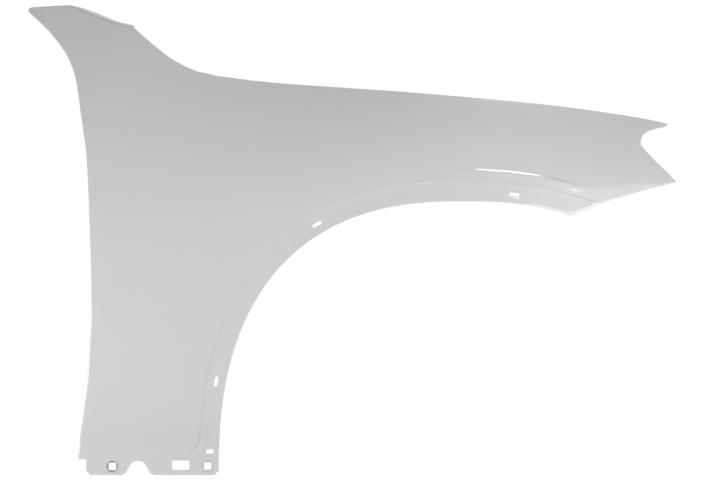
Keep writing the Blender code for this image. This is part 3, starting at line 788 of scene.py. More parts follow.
class FenderSkin:
    """The panel's middle sheet: three patches with their edge rolled and folded."""

    def __init__(self, form: SkinForm, folds: Folds, grain: MeshGrain) -> None:
        """Work out the outline.

        Args:
            form: The depth of the skin.
            folds: The sizes of the folded edges.
            grain: How finely the patches are cut.
        """
        self.form = form
        self.folds = folds
        self.grain = grain
        self.outline = form.outline
        self.arch = form.arch
        radius = folds.roll_radius
        turns = [math.pi / 2 * share for share in even(grain.roll_steps)]
        roll = [radius * (1.0 - math.cos(turn)) for turn in turns]
        self.roll_rows = [*roll, radius + grain.edge_spacing]
        self.step_rows = [grain.step_spacing * step for step in range(grain.step_rows)]
        self.crease_rows = roll + [
            radius + grain.crease_spacing * (step + 1) for step in range(grain.crease_rows)
        ]
        self.inner = self.inner_line()
        self.loop = self.rim_loop()
        self.tree = search_tree([in_space(rim.point) for rim in self.loop])

    def spread_over(
        self, line: Sequence[Vector], count: int, near: bool = True, far: bool = True
    ) -> list[Vector]:
        """Set points along a line, close together where an end meets a rolled edge.

        Args:
            line: The line.
            count: How many steps.
            near: Whether its start meets a rolled edge.
            far: Whether its end does.

        Returns:
            The points.
        """
        first = self.roll_rows if near else [0.0]
        last = self.roll_rows if far else [0.0]
        return at_shares(line, spread(line_length(line), count, first, last))

    def inner_line(self) -> list[Vector]:
        """Draw the step line and on from it the bumper edge, one point for each column.

        Returns:
            The line, from the sill to the nose.
        """
        grain = self.grain
        step = self.arch.step_line()
        cut = round(grain.leg_seam_share * (len(step) - 1))
        leg = at_shares(step[: cut + 1], even(grain.leg_rows))
        wing = self.spread_over(step[cut:], grain.wing_columns, near=False)
        end, tip = wing[-1], self.outline.place(self.outline.lamp[0])
        bow = self.outline.bumper_bow * (tip.x - end.x)
        bumper = []
        for share in even(grain.bumper_steps):
            point = end.lerp(tip, share)
            point.y += bow * math.sin(math.pi * share)
            bumper.append(point)
        nose = self.spread_over(bumper, grain.nose_columns, near=False)
        return [*leg[:-1], *wing[:-1], *nose]

    @property
    def band_columns(self) -> int:
        """How many columns the band has."""
        return self.grain.leg_rows + self.grain.wing_columns

    def stretches(self) -> dict[Edge, list[Vector]]:
        """Draw each stretch of the outline, clockwise, from corner to corner.

        Returns:
            The points of each stretch.
        """
        grain, outline = self.grain, self.outline
        door = outline.curve(outline.door)
        leg_end, seam_end = (round(share * (len(door) - 1)) for share in grain.door_seam_shares)
        seam_length = line_length(door[leg_end : seam_end + 1])
        seam_spread = spread(seam_length, grain.wing_rows, [0.0], [0.0])
        door_points = self.spread_over(door[: leg_end + 1], grain.leg_rows, near=False, far=False)
        door_points += at_shares(door[leg_end : seam_end + 1], seam_spread)[1:]
        upper = grain.cowl_rows + grain.pillar_rows
        door_points += self.spread_over(door[seam_end:], upper, near=False)[1:]
        arch_edge = []
        for column, point in enumerate(self.inner[: self.band_columns + 1]):
            share = smooth(column / self.band_columns, self.arch.turn_start, 1.0)
            turn = (self.arch.front_angle - self.arch.step_front_angle) * share
            arch_edge.append(self.arch.point(self.arch.angle(point) + turn))
        closing = [arch_edge[-1], self.inner[self.band_columns]]
        bumper = self.inner[self.band_columns :]
        lamp = outline.curve(outline.lamp)
        hood = outline.curve(outline.hood)
        return {
            Edge.DOOR: door_points,
            Edge.SPIKE: self.spread_over(outline.curve(outline.spike), grain.rear_columns),
            Edge.PILLAR: self.spread_over(
                outline.curve(outline.pillar), grain.pillar_rows, far=False
            ),
            Edge.COWL: self.spread_over(outline.curve(outline.cowl), grain.cowl_rows, False, False),
            Edge.HOOD: self.spread_over(hood, grain.wing_columns + grain.nose_columns, False),
            Edge.LAMP: at_shares(lamp, self.wing_spread(line_length(lamp)))[::-1],
            Edge.BUMPER: bumper[::-1],
            Edge.CLOSING: at_shares(closing, self.band_spread(line_length(closing)))[::-1],
            Edge.ARCH: arch_edge[::-1],
        }

    def wing_spread(self, length: float) -> list[float]:
        """Share out a column of the wing: close at the crease and at the rolled hood line."""
        return spread(length, self.grain.wing_rows, self.crease_rows, self.roll_rows)

    def band_spread(self, length: float) -> list[float]:
        """Share out a column of the band: close at the arch edge and at the step."""
        return spread(length, self.grain.band_rows, self.roll_rows, self.step_rows)

    def rim_loop(self) -> list[Rim]:
        """Make the rims of the whole outline but the sill, each point once.

        Returns:
            The rims, clockwise from the foot of the door edge.
        """
        stretches = self.stretches()
        self.edges = stretches
        loop = [Rim(Edge.DOOR, stretches[Edge.DOOR][0])]
        for edge, points in stretches.items():
            loop += [Rim(edge, point) for point in points[1:]]
        for index, rim in enumerate(loop):
            before = loop[max(index - 1, 0)].point
            after = loop[min(index + 1, len(loop) - 1)].point
            along = (after - before).normalized()
            rim.outward = Vector((-along.y, along.x))
        pillar = [rim.point for rim in loop if rim.edge is Edge.PILLAR]
        for rim in loop:
            near = min((rim.point - pillar[0]).length, (rim.point - pillar[-1]).length)
            fade = smooth(near, 0.0, self.folds.roll_fade)
            rim.roll = 0.0 if rim.edge is Edge.PILLAR else fade
        return loop

    def roll_depth(self, point: Vector) -> float:
        """Give how far the rolled edge has turned inboard at a place.

        Args:
            point: The place as (x, z).

        Returns:
            The extra depth, 0 beyond the roll's reach.
        """
        radius = self.folds.roll_radius
        _, index, rough = self.tree.find(in_space(point))
        if rough > self.folds.roll_search:
            return 0.0
        best, roll = math.inf, 0.0
        reach = self.folds.roll_neighbours
        for near in range(max(index - reach, 1), min(index + reach + 1, len(self.loop))):
            a, b = self.loop[near - 1], self.loop[near]
            span = b.point - a.point
            share = min(max((point - a.point).dot(span) / span.length_squared, 0.0), 1.0)
            away = (a.point + span * share - point).length
            if away < best:
                best, roll = away, blend(a.roll, b.roll, share)
        gone = max(radius - best, 0.0)
        return roll * (radius - math.sqrt(max(radius * radius - gone * gone, 0.0)))

    def lay(self, point: Vector, depth: float) -> Vector:
        """Give the place in space of a point of the skin at its depth, edge roll included."""
        return in_space(point, depth + self.roll_depth(point))

    def rear_patch(self) -> dict[tuple[int, int], Vector]:
        """Lay out the leg and spike, by column from the door edge and row from the sill.

        Returns:
            The place of each crossing.
        """
        grain, edges = self.grain, self.edges
        left = edges[Edge.DOOR]
        top = edges[Edge.SPIKE]
        cowl = edges[Edge.COWL]
        low = self.inner[grain.leg_rows]
        seam = [
            low.lerp(cowl[-1], share) for share in self.wing_spread((cowl[-1] - low).length)
        ]
        right = self.inner[: grain.leg_rows] + seam + cowl[-2::-1] + edges[Edge.PILLAR][-2::-1]
        spots = {}
        for row, height in enumerate(running_shares(left)):
            shares = spread(
                (right[row] - left[row]).length, grain.rear_columns, self.roll_rows, self.roll_rows
            )
            pull = smooth(height, grain.spike_pull_start, 1.0) ** 2
            for column, share in enumerate(shares):
                spot = left[row].lerp(right[row], share)
                spot += (top[column] - left[-1].lerp(right[-1], share)) * pull
                spots[column, row] = self.lay(spot, self.form.skin(spot.x, spot.y))
        return spots

    def wing_patch(self) -> dict[tuple[int, int], Vector]:
        """Lay out the wing, by column from the seam and row from the step line.

        Returns:
            The place of each crossing.
        """
        grain, edges = self.grain, self.edges
        low = self.inner[grain.leg_rows :]
        high = edges[Edge.HOOD]
        lamp = edges[Edge.LAMP][::-1]
        ends = self.wing_spread((high[-1] - low[-1]).length)
        bulges = [spot - low[-1].lerp(high[-1], share) for spot, share in zip(lamp, ends)]
        spots = {}
        for column, ahead in enumerate(running_shares(low)):
            span = (high[column] - low[column]).length
            pull = ahead**grain.lamp_pull_power
            for row, share in enumerate(self.wing_spread(span)):
                spot = low[column].lerp(high[column], share) + bulges[row] * pull
                depth = self.form.skin(spot.x, spot.y) - self.form.crease(spot.x, share * span)
                spots[column, row] = self.lay(spot, depth)
        return spots

    def band_patch(self) -> dict[tuple[int, int], Vector]:
        """Lay out the band, by column from the sill and row from the arch edge.

        Returns:
            The place of each crossing.
        """
        low = self.edges[Edge.ARCH][::-1]
        high = self.inner[: self.band_columns + 1]
        spots = {}
        for column, (start, end) in enumerate(zip(low, high)):
            span = (end - start).length
            for row, share in enumerate(self.band_spread(span)):
                spot = start.lerp(end, share)
                depth = self.form.band(spot, (1.0 - share) * span)
                spots[column, row] = self.lay(spot, depth)
        return spots

    def build(self) -> bpy.types.Object:
        """Make the skin and fold its edges.

        Returns:
            The open middle sheet.
        """
        self.rear = self.rear_patch()
        self.band_spots = self.band_patch()
        patches = [
            Bench.grid("rear_patch", self.rear),
            Bench.grid("wing_patch", self.wing_patch()),
            Bench.grid("band_patch", self.band_spots),
        ]
        sheet = Bench.sew("fender_skin", patches, self.grain.merge_distance)
        LOG.info("skin: %d points", len(sheet.data.vertices))
        self.fold_edges(sheet)
        self.fold_sill(sheet)
        return sheet

    def points_at(self, sheet: bpy.types.Object, places: Sequence[Vector]) -> list[int]:
        """Find the sheet's points nearest to some places.

        Args:
            sheet: The sheet.
            places: The places as (x, z).

        Returns:
            The points' numbers.
        """
        tree = search_tree([Vector((vert.co.x, 0.0, vert.co.z)) for vert in sheet.data.vertices])
        return [tree.find(in_space(place))[1] for place in places]

    def fold(
        self, sheet: bpy.types.Object, rims: Sequence[Rim], section: Callable[[int], list[Point]]
    ) -> list[Vector]:
        """Fold a flange on from a run of rims.

        Args:
            sheet: The sheet.
            rims: The run of rims.
            section: Gives the flange's section at a rim, by its number in the run, each
                point as its outward and inboard distance from the rim.

        Returns:
            The flange's free edge.
        """
        ring = self.points_at(sheet, [rim.point for rim in rims])
        base = [sheet.data.vertices[index].co.copy() for index in ring]
        sections = [section(number) for number in range(len(rims))]
        for step in range(len(sections[0])):
            ring = Bench.extrude(sheet, ring)
            for rim, origin, index, offsets in zip(rims, base, ring, sections):
                sheet.data.vertices[index].co = rim.offset(origin, *offsets[step])
        return [sheet.data.vertices[index].co.copy() for index in ring]

    def run_of(self, *edges: Edge, start: float, end: float) -> list[Rim]:
        """Pick the rims of some neighbouring stretches, short of their ends.

        Args:
            edges: The stretches, in order.
            start: How much length is left free at the start.
            end: How much is left free at the end.

        Returns:
            The rims between.
        """
        rims = [rim for rim in self.loop if rim.edge in edges]
        run = running_lengths([rim.point for rim in rims])
        return [rim for rim, at in zip(rims, run) if start <= at <= run[-1] - end]

    def fold_edges(self, sheet: bpy.types.Object) -> None:
        """Fold the returns, the pillar strip, and the gutter with its ledge.

        Args:
            sheet: The sheet.
        """
        folds = self.folds
        gap = folds.relief
        rest = line_length(self.edges[Edge.DOOR]) * folds.door_free_share
        plain = (
            ((Edge.DOOR,), gap, rest, folds.door_return),
            ((Edge.COWL,), gap, gap, folds.cowl_return),
            ((Edge.LAMP,), folds.lamp_relief, gap, folds.lamp_return),
            ((Edge.BUMPER, Edge.CLOSING), gap, gap, folds.bumper_return),
            ((Edge.ARCH,), gap, gap, folds.arch_return),
        )
        for edges, start, end, depth in plain:
            rims = self.run_of(*edges, start=start, end=end)
            section = [(0.0, depth * share) for share in even(self.grain.return_steps)[1:]]
            self.fold(sheet, rims, lambda number, section=section: section)
            LOG.info("folded return: %s", edges[0].value)
        pillar = self.run_of(Edge.PILLAR, start=folds.strip_start, end=0.0)
        shares = running_shares([rim.point for rim in pillar])
        self.fold(sheet, pillar, lambda number: self.strip_section(shares[number]))
        hood = self.run_of(Edge.HOOD, start=gap, end=folds.hood_relief)
        lead = folds.bend_radius
        corners = [
            (0.0, 0.0),
            (0.0, lead),
            (-folds.gutter_drop, lead + folds.gutter_set_in),
            (-folds.gutter_drop, lead + folds.gutter_set_in + folds.ledge_width),
        ]
        section = folds.rounded(corners)
        self.ledge = self.fold(sheet, hood, lambda number: section)
        LOG.info("folded the gutter and ledge")

    def strip_section(self, share: float) -> list[Point]:
        """Give the section of the strip beyond the joggle, which the pillar's trim covers.

        Args:
            share: How far along the pillar stretch.

        Returns:
            The section's points.
        """
        folds = self.folds
        widths = folds.strip_width_shares
        position = share * (len(widths) - 1)
        index = min(int(position), len(widths) - 2)
        width = folds.strip_width * blend(widths[index], widths[index + 1], position - index)
        return [
            (self.form.sheet * sheets + width * reach, folds.strip_joggle * depth)
            for sheets, reach, depth in folds.strip_profile
        ]

    def fold_sill(self, sheet: bpy.types.Object) -> None:
        """Draw the flat sill flange down from the foot of the leg and the band.

        Args:
            sheet: The sheet.
        """
        grain = self.grain
        columns = range(grain.rear_columns, -1, -1)
        feet = [self.band_spots[0, row] for row in range(grain.band_rows)]
        feet += [self.rear[column, 0] for column in columns]
        left = feet[-1].x + self.folds.sill_set_in
        feet = [foot for foot in feet if foot.x > left]
        ring = self.points_at(sheet, [Vector((foot.x, foot.z)) for foot in feet])
        bottom = self.outline.place((0.0, 0.0)).y
        self.sill_corners = (
            Vector((sheet.data.vertices[ring[-1]].co.x, bottom)),
            Vector((sheet.data.vertices[ring[0]].co.x, bottom)),
        )
        tops = [sheet.data.vertices[index].co.z for index in ring]
        for share in even(grain.sill_steps)[1:]:
            ring = Bench.extrude(sheet, ring)
            for index, top in zip(ring, tops):
                vert = sheet.data.vertices[index]
                vert.co.y = -self.form.sheet
                vert.co.z = blend(top, bottom, share)


@dataclass(frozen=True)
class Openings:
    """The holes, slots, seats and notch that the press makes in the panel.

    The seats' starts are where their two cones begin, in sheets from the flange's inner face.
    """

    seats: Sequence[Point] = ((0.1351, 0.0181), (0.2808, 0.0190))
    seat_radius: float = 0.0108
    seat_depths: Sequence[float] = (0.0045, 0.0016)
    seat_slope: float = 0.0028
    seat_starts: Point = (-0.5, -2.0)
    # How strongly shade is painted into each seat's wall, as a darker ring.
    seat_shade_shares: Sequence[float] = (1.0, 0.3)
    seat_sides: int = 96
    square_hole: float = 0.0134
    long_hole: Point = (0.0310, 0.0167)
    long_hole_place: Point = (0.2398, 0.0209)
    small_hole: Point = (0.0128, 0.0079)
    small_hole_place: Point = (0.2841, 0.0498)
    hole_corner: float = 0.0018
    sill_corner: float = 0.0078
    sill_corner_round: float = 0.0002
    notch_width: float = 0.0560
    notch_height: float = 0.0255
    notch_place: float = 0.1743
    notch_shares: Sequence[Point] = (
        (0.50, 0.00),
        (0.475, 0.05),
        (0.39, 0.16),
        (0.32, 0.42),
        (0.25, 0.72),
        (0.14, 0.93),
        (0.00, 1.00),
    )
    notch_steps: int = 48
    slot: Point = (0.0182, 0.0062)
    slot_set_backs: Sequence[float] = (0.0176, 0.0176, 0.0158)
    slot_angles: Sequence[float] = (158.7, 120.2, 80.1)
    slit: Point = (0.0125, 0.0018)
    slit_set_back: float = 0.0096
    slit_angle: float = 79.7
    slot_round_share: float = 0.45
    dimple_sides: tuple[int, int] = (48, 32)
    dimple_sphere: float = 0.0021
    dimple_depth: float = 0.00066
    dimple_set_back: float = 0.0235
    dimple_angles: Sequence[float] = (75.3, 71.3)
    ledge_slot: Point = (0.0120, 0.0085)
    ledge_slot_shares: Sequence[float] = (0.10, 0.37, 0.64, 0.91)
    ledge_gap: Point = (0.052, 0.026)
    ledge_gap_corner: float = 0.006
    ledge_gap_shares: Sequence[float] = (0.235, 0.505, 0.775)
    direction_step: float = 0.5
    direction_share: float = 0.01
    reach: float = 0.012
    round_steps: int = 10


class FenderPanel:
    """The finished panel: the folded sheet with its thickness, pierced and painted."""

    def __init__(self, skin: FenderSkin, openings: Openings) -> None:
        """Keep what the panel is made from.

        Args:
            skin: The maker of the folded sheet.
            openings: The sizes of the openings.
        """
        self.skin = skin
        self.openings = openings
        self.outline = skin.outline

    def build(self) -> bpy.types.Object:
        """Make the panel.

        Returns:
            The panel's object, at the origin.
        """
        panel = self.skin.build()
        panel.name = "fender_pressing"
        self.face_outwards(panel)
        sheet = panel.modifiers.new("sheet", "SOLIDIFY")
        sheet.thickness = self.skin.form.sheet
        sheet.offset = -1.0
        Bench.apply_all(panel)
        LOG.info("sheet: %d faces", len(panel.data.polygons))
        self.carve(panel, "UNION", self.seat_cones(dish=False))
        self.carve(panel, "DIFFERENCE", self.seat_cones(dish=True))
        self.carve(panel, "DIFFERENCE", self.cutters())
        Bench.pick(panel)
        bpy.ops.object.shade_smooth_by_angle(angle=math.radians(self.skin.grain.smooth_angle))
        LOG.info("panel: %d faces", len(panel.data.polygons))
        return panel

    def carve(self, panel: bpy.types.Object, way: str, tools: list[bpy.types.Object]) -> None:
        """Add some bodies to the panel or take them out of it, all in one go.

        Args:
            panel: The panel.
            way: The Boolean operation.
            tools: Closed bodies that don't meet each other; they are used up.
        """
        Bench.pick(*tools)
        bpy.ops.object.join()
        tool = bpy.context.object
        carved = panel.modifiers.new("carved", "BOOLEAN")
        carved.operation = way
        carved.object = tool
        Bench.apply_all(panel)
        bpy.data.objects.remove(tool, do_unlink=True)

    def seat_cones(self, dish: bool) -> list[bpy.types.Object]:
        """Make the cones that raise the round seats inboard, or that hollow them out.

        Args:
            dish: Whether they hollow the seats out.

        Returns:
            One cone for each seat.
        """
        sizes, sheet = self.openings, self.skin.form.sheet
        wide = sizes.seat_radius if dish else sizes.seat_radius + sheet
        start = sizes.seat_starts[dish] * sheet
        cones = []
        for number, (share, depth) in enumerate(zip(sizes.seats, sizes.seat_depths), 1):
            end = depth - sheet if dish else depth
            spot = self.outline.place(share)
            Bench.clear_selection()
            bpy.ops.mesh.primitive_cone_add(
                vertices=sizes.seat_sides,
                radius1=wide - sizes.seat_slope,
                radius2=wide,
                depth=end - start,
                location=in_space(spot, (start + end) / 2),
                rotation=(math.pi / 2, 0.0, 0.0),
            )
            bpy.ops.object.transform_apply(location=True, rotation=True, scale=True)
            bpy.context.object.name = f"seat_{number}"
            cones.append(bpy.context.object)
        return cones

    def on_band(self, spot: Vector) -> Vector:
        """Give the place in space of a point (x, z) on the band's painted face."""
        form = self.skin.form
        return in_space(spot, form.skin(spot.x, spot.y) + form.band_depth)

    def dimples(self) -> list[bpy.types.Object]:
        """Make the spheres that only just enter the painted face beside the front slot.

        Returns:
            One sphere for each dimple.
        """
        sizes = self.openings
        spheres = []
        for degrees in sizes.dimple_angles:
            spot = self.on_band(self.skin.arch.point(degrees, sizes.dimple_set_back))
            Bench.clear_selection()
            bpy.ops.mesh.primitive_uv_sphere_add(
                segments=sizes.dimple_sides[0],
                ring_count=sizes.dimple_sides[1],
                radius=sizes.dimple_sphere,
                location=spot + INBOARD * (sizes.dimple_depth - sizes.dimple_sphere),
                rotation=(math.pi / 2, 0.0, 0.0),
            )
            bpy.ops.object.transform_apply(location=True, rotation=True, scale=True)
            spheres.append(bpy.context.object)
        return spheres

    def face_outwards(self, panel: bpy.types.Object) -> None:
        """Turn the open sheet's normals to the painted side.

        Args:
            panel: The sheet, before it has its thickness.
        """
        Bench.pick(panel)
        with Bench.editing():
            bpy.ops.mesh.select_all(action="SELECT")
            bpy.ops.mesh.normals_make_consistent(inside=False)
        lean = sum(face.normal.y * face.area for face in panel.data.polygons)
        if lean > 0.0:
            with Bench.editing():
                bpy.ops.mesh.flip_normals()

    def block(
        self, name: str, size: Point, corner: float, centre: Vector, turn: float, up: bool = False
    ) -> bpy.types.Object:
        """Make a block with rounded corners that cuts along Y, or along Z for the ledge.

        Args:
            name: The cutter's name.
            size: Its length and width.
            corner: The radius of its corners.
            centre: Its middle.
            turn: Its turn in the plane that it cuts.
            up: Whether it cuts along Z.

        Returns:
            The cutter.
        """
        Bench.clear_selection()
        bpy.ops.mesh.primitive_cube_add(size=1.0)
        cutter = bpy.context.object
        cutter.name = name
        cutter.scale = (size[0], size[1], 2.0 * self.openings.reach)
        bpy.ops.object.transform_apply(location=False, rotation=False, scale=True)
        for edge in cutter.data.edges:
            ends = [cutter.data.vertices[index].co.z for index in edge.vertices]
            edge.select = abs(ends[0] - ends[1]) > self.openings.reach
        bpy.context.tool_settings.mesh_select_mode = (False, True, False)
        for vert in cutter.data.vertices:
            vert.select = False
        for face in cutter.data.polygons:
            face.select = False
        with Bench.editing():
            bpy.ops.mesh.bevel(offset=corner, segments=self.openings.round_steps, affect="EDGES")
        cutter.rotation_euler = (0.0, 0.0, turn) if up else (math.pi / 2, -turn, 0.0)
        cutter.location = centre
        bpy.ops.object.transform_apply(location=True, rotation=True, scale=False)
        return cutter

    def arch_slot(
        self, name: str, size: Point, degrees: float, set_back: float
    ) -> bpy.types.Object:
        """Make the cutter of a slot that lies along the arch.

        Args:
            name: The cutter's name.
            size: The slot's length and width.
            degrees: Its angle round the arch's centre.
            set_back: How far it lies outside the arch edge.

        Returns:
            The cutter.
        """
        sizes = self.openings
        spot = self.skin.arch.point(degrees, set_back)
        ahead = self.skin.arch.point(degrees - sizes.direction_step, set_back)
        turn = math.atan2(ahead.y - spot.y, ahead.x - spot.x)
        corner = size[1] * sizes.slot_round_share
        return self.block(name, size, corner, self.on_band(spot), turn)

    def notch(self) -> bpy.types.Object:
        """Make the cutter of the round-topped notch with flared feet.

        Returns:
            The cutter.
        """
        sizes = self.openings
        middle = self.outline.place((sizes.notch_place, 0.0))
        wide, high = sizes.notch_width, sizes.notch_height
        half = [Vector((x * wide, z * high)) for x, z in sizes.notch_shares]
        mirrored = [Vector((-point.x, point.y)) for point in reversed(half[:-1])]
        side = at_shares(curve_through([*half, *mirrored]), even(sizes.notch_steps))
        below = Vector((0.0, -high))
        rim = [side[0] + below, *side, side[-1] + below]
        Bench.clear_selection()
        bpy.ops.mesh.primitive_circle_add(vertices=len(rim), radius=1.0, fill_type="NGON")
        cutter = bpy.context.object
        cutter.name = "sill_notch"
        for vert, point in zip(cutter.data.vertices, rim):
            vert.co = (middle.x + point.x, -sizes.reach, middle.y + point.y)
        with Bench.editing():
            bpy.ops.mesh.select_all(action="SELECT")
            bpy.ops.mesh.extrude_region_move(
                TRANSFORM_OT_translate={"value": (0.0, 2.0 * sizes.reach, 0.0)}
            )
            bpy.ops.mesh.select_all(action="SELECT")
            bpy.ops.mesh.normals_make_consistent(inside=False)
        return cutter

    def cutters(self) -> list[bpy.types.Object]:
        """Make the cutters of every opening.

        Returns:
            The cutters, one body for each opening.
        """
        sizes = self.openings
        made = [self.notch()]
        holes = [
            ("long_hole", sizes.long_hole, sizes.long_hole_place),
            ("small_hole", sizes.small_hole, sizes.small_hole_place),
        ]
        square = (sizes.square_hole, sizes.square_hole)
        holes += [(f"square_hole_{n}", square, place) for n, place in enumerate(sizes.seats, 1)]
        for name, size, place in holes:
            centre = in_space(self.outline.place(place))
            made.append(self.block(name, size, sizes.hole_corner, centre, 0.0))
        side = sizes.sill_corner * math.sqrt(2.0)
        for number, corner in enumerate(self.skin.sill_corners, 1):
            name, edge = f"sill_corner_{number}", sizes.sill_corner_round
            made.append(self.block(name, (side, side), edge, in_space(corner), math.pi / 4))
        for number, spot in enumerate(zip(sizes.slot_angles, sizes.slot_set_backs), 1):
            made.append(self.arch_slot(f"slot_{number}", sizes.slot, *spot))
        made.append(self.arch_slot("slit", sizes.slit, sizes.slit_angle, sizes.slit_set_back))
        return made + self.dimples() + self.ledge_cutters()

    def ledge_cutters(self) -> list[bpy.types.Object]:
        """Make the cutters of the ledge's bolt slots and of the gaps between its tabs.

        Returns:
            The cutters, four slots and three gaps.
        """
        sizes, ledge = self.openings, self.skin.ledge
        half = INBOARD * (self.skin.folds.ledge_width / 2)
        made = []
        corner = sizes.ledge_slot[1] * sizes.slot_round_share
        for number, spot in enumerate(at_shares(ledge, sizes.ledge_slot_shares), 1):
            name = f"ledge_slot_{number}"
            made.append(self.block(name, sizes.ledge_slot, corner, spot - half, 0.0, True))
        step, corner = sizes.direction_share, sizes.ledge_gap_corner
        for number, share in enumerate(sizes.ledge_gap_shares, 1):
            before, spot, after = at_shares(ledge, (share - step, share, share + step))
            turn = math.atan2(after.y - before.y, after.x - before.x)
            name = f"ledge_gap_{number}"
            made.append(self.block(name, sizes.ledge_gap, corner, spot, turn, True))
        return made


class NodeBench:
    """The emptied node tree of a material or a world, with one way to add a node."""

    def __init__(self, owner: bpy.types.Material | bpy.types.World) -> None:
        """Empty the owner's node tree.

        Args:
            owner: The new material or world.
        """
        owner.use_nodes = True
        self.tree = owner.node_tree
        self.tree.nodes.clear()

    def add(
        self,
        kind: str,
        settings: dict[str | int, object] | None = None,
        links: dict[str | int, Source] | None = None,
    ) -> bpy.types.Node:
        """Add a node with its settings and links.

        Args:
            kind: The node's type.
            settings: Attributes of the node by name, and values of its sockets by name
                or number.
            links: The sockets that other nodes feed, by name or number.

        Returns:
            The node.
        """
        node = self.tree.nodes.new(kind)
        for name, value in (settings or {}).items():
            if isinstance(name, int) or name in node.inputs:
                node.inputs[name].default_value = value
            else:
                setattr(node, name, value)
        for name, source in (links or {}).items():
            feeding, output = source if isinstance(source, tuple) else (source, 0)
            self.tree.links.new(feeding.outputs[output], node.inputs[name])
        return node

    def seen_rays(self, camera: bool = True) -> bpy.types.Node:
        """Add nodes that tell the rays that show a background: camera, glossy and transmission.

        Args:
            camera: Whether the camera's own rays are among them.

        Returns:
            A node that gives 1 for such a ray and 0 for the rays that carry light.
        """
        path = self.add("ShaderNodeLightPath")
        seen = (path, "Is Glossy Ray")
        for name in ["Is Transmission Ray"] + ["Is Camera Ray"] * camera:
            seen = self.add("ShaderNodeMath", {"operation": "MAXIMUM"}, {0: seen, 1: (path, name)})
        return seen


@dataclass(frozen=True)
class BakedLacquer:
    """Two-coat car paint on pressed steel: a light-grey base coat under clear lacquer.

    The lacquer gives clear but faint reflections, and its baked film has a slight
    orange peel, a few millimetres across and a few micrometres high, drawn a little
    coarser so that it shows. Broad, faint clouds part the thin coat from the full one.
    """

    name: str = "light_grey_lacquer"
    base: str = "CDCFCE"
    thin: str = "C8CBCA"
    # Painted shade in the seats' walls: its colour, the seats that it darkens, and the ring's radii
    # and softness.
    seat_shade_colour: str = "8E8E86"
    shaded_seats: Sequence[tuple[float, float, float]] = ()
    seat_shade_radii: Point = (0.0070, 0.0106)
    seat_shade_softness: float = 0.0008
    ior: float = 1.5
    roughness: float = 0.42
    coat_roughness: float = 0.05
    peel_size: float = 0.0035
    peel_detail: float = 1.0
    peel_height: float = 0.000012
    cloud_size: float = 0.25
    cloud_detail: float = 2.0

    def make(self) -> bpy.types.Material:
        """Make the material.

        Returns:
            The material.
        """
        material = bpy.data.materials.new(self.name)
        bench = NodeBench(material)
        place = bench.add("ShaderNodeTexCoord")
        patterns = ((self.cloud_size, self.cloud_detail), (self.peel_size, self.peel_detail))
        clouds, peel = (
            bench.add(
                "ShaderNodeTexNoise",
                {"Scale": 1.0 / size, "Detail": detail},
                {"Vector": (place, "Object")},
            )
            for size, detail in patterns
        )
        colour = bench.add(
            "ShaderNodeMix",
            {"data_type": "RGBA", MIX_A: linear(self.thin), MIX_B: linear(self.base)},
            {0: (clouds, "Fac")},
        )
        coat = (colour, MIX_RESULT)
        # Paint shade into each seat's wall as a darker ring.
        for x, z, share in self.shaded_seats:
            coat = self.paint_seat_shade(bench, place, coat, (x, 0.0, z), share)
        bump = bench.add(
            "ShaderNodeBump",
            {"Distance": self.peel_height, "Strength": 1.0},
            {"Height": (peel, "Fac")},
        )
        shader = bench.add(
            "ShaderNodeBsdfPrincipled",
            {
                "Roughness": self.roughness,
                "Metallic": 0.0,
                "IOR": self.ior,
                "Coat Weight": 1.0,
                "Coat Roughness": self.coat_roughness,
                "Coat IOR": self.ior,
            },
            {"Base Color": coat, "Coat Normal": (bump, "Normal")},
        )
        bench.add("ShaderNodeOutputMaterial", links={"Surface": shader})
        return material

    def paint_seat_shade(
        self,
        bench: NodeBench,
        place: bpy.types.Node,
        coat: Source,
        middle: tuple[float, float, float],
        share: float,
    ) -> Source:
        """Paint shade into a seat's wall: a darker ring that stands in for the shade in the recess.

        Args:
            bench: The node tree.
            place: The coordinates' node.
            coat: What gives the colour so far.
            middle: The seat's middle.
            share: How strongly the painted shade shows.

        Returns:
            What gives the new colour.
        """
        flat = bench.add(
            "ShaderNodeVectorMath",
            {"operation": "MULTIPLY", 1: (1.0, 0.0, 1.0)},
            {0: (place, "Object")},
        )
        away = bench.add("ShaderNodeVectorMath", {"operation": "DISTANCE", 1: middle}, {0: flat})
        inner, outer = self.seat_shade_radii
        ramps = [
            bench.add(
                "ShaderNodeMapRange",
                {
                    "From Min": radius - self.seat_shade_softness,
                    "From Max": radius + self.seat_shade_softness,
                    "To Min": low,
                    "To Max": high,
                },
                {"Value": (away, "Value")},
            )
            for radius, low, high in ((inner, 0.0, share), (outer, 1.0, 0.0))
        ]
        # The ring between the wall's two radii, where the shade is painted.
        ring = bench.add("ShaderNodeMath", {"operation": "MULTIPLY"}, dict(enumerate(ramps)))
        mixed = bench.add(
            "ShaderNodeMix",
            {"data_type": "RGBA", MIX_B: linear(self.seat_shade_colour)},
            {0: ring, MIX_A: coat},
        )
        return mixed, MIX_RESULT


@dataclass(frozen=True)
class PhotoPaper:
    """Matt white paper. On the floor it keeps the shadow. Hung up, it shows as pure white
    from the front and is clear from behind, so that it never hides the object."""

    name: str
    hung: bool
    colour: str = "F4F4F4"
    glow: float = 1.0

    def make(self) -> bpy.types.Material:
        """Make the material.

        Returns:
            The material.
        """
        material = bpy.data.materials.new(self.name)
        bench = NodeBench(material)
        paper = bench.add("ShaderNodeBsdfDiffuse", {"Color": linear(self.colour)})
        glow = bench.add("ShaderNodeEmission", {"Strength": self.glow})
        seen = bench.seen_rays(self.hung)
        surface = bench.add("ShaderNodeMixShader", links={0: seen, 1: paper, 2: glow})
        if self.hung:
            side = bench.add("ShaderNodeNewGeometry")
            clear = bench.add("ShaderNodeBsdfTransparent")
            both = {0: (side, "Backfacing"), 1: surface, 2: clear}
            surface = bench.add("ShaderNodeMixShader", links=both)
        bench.add("ShaderNodeOutputMaterial", links={"Surface": surface})
        return material


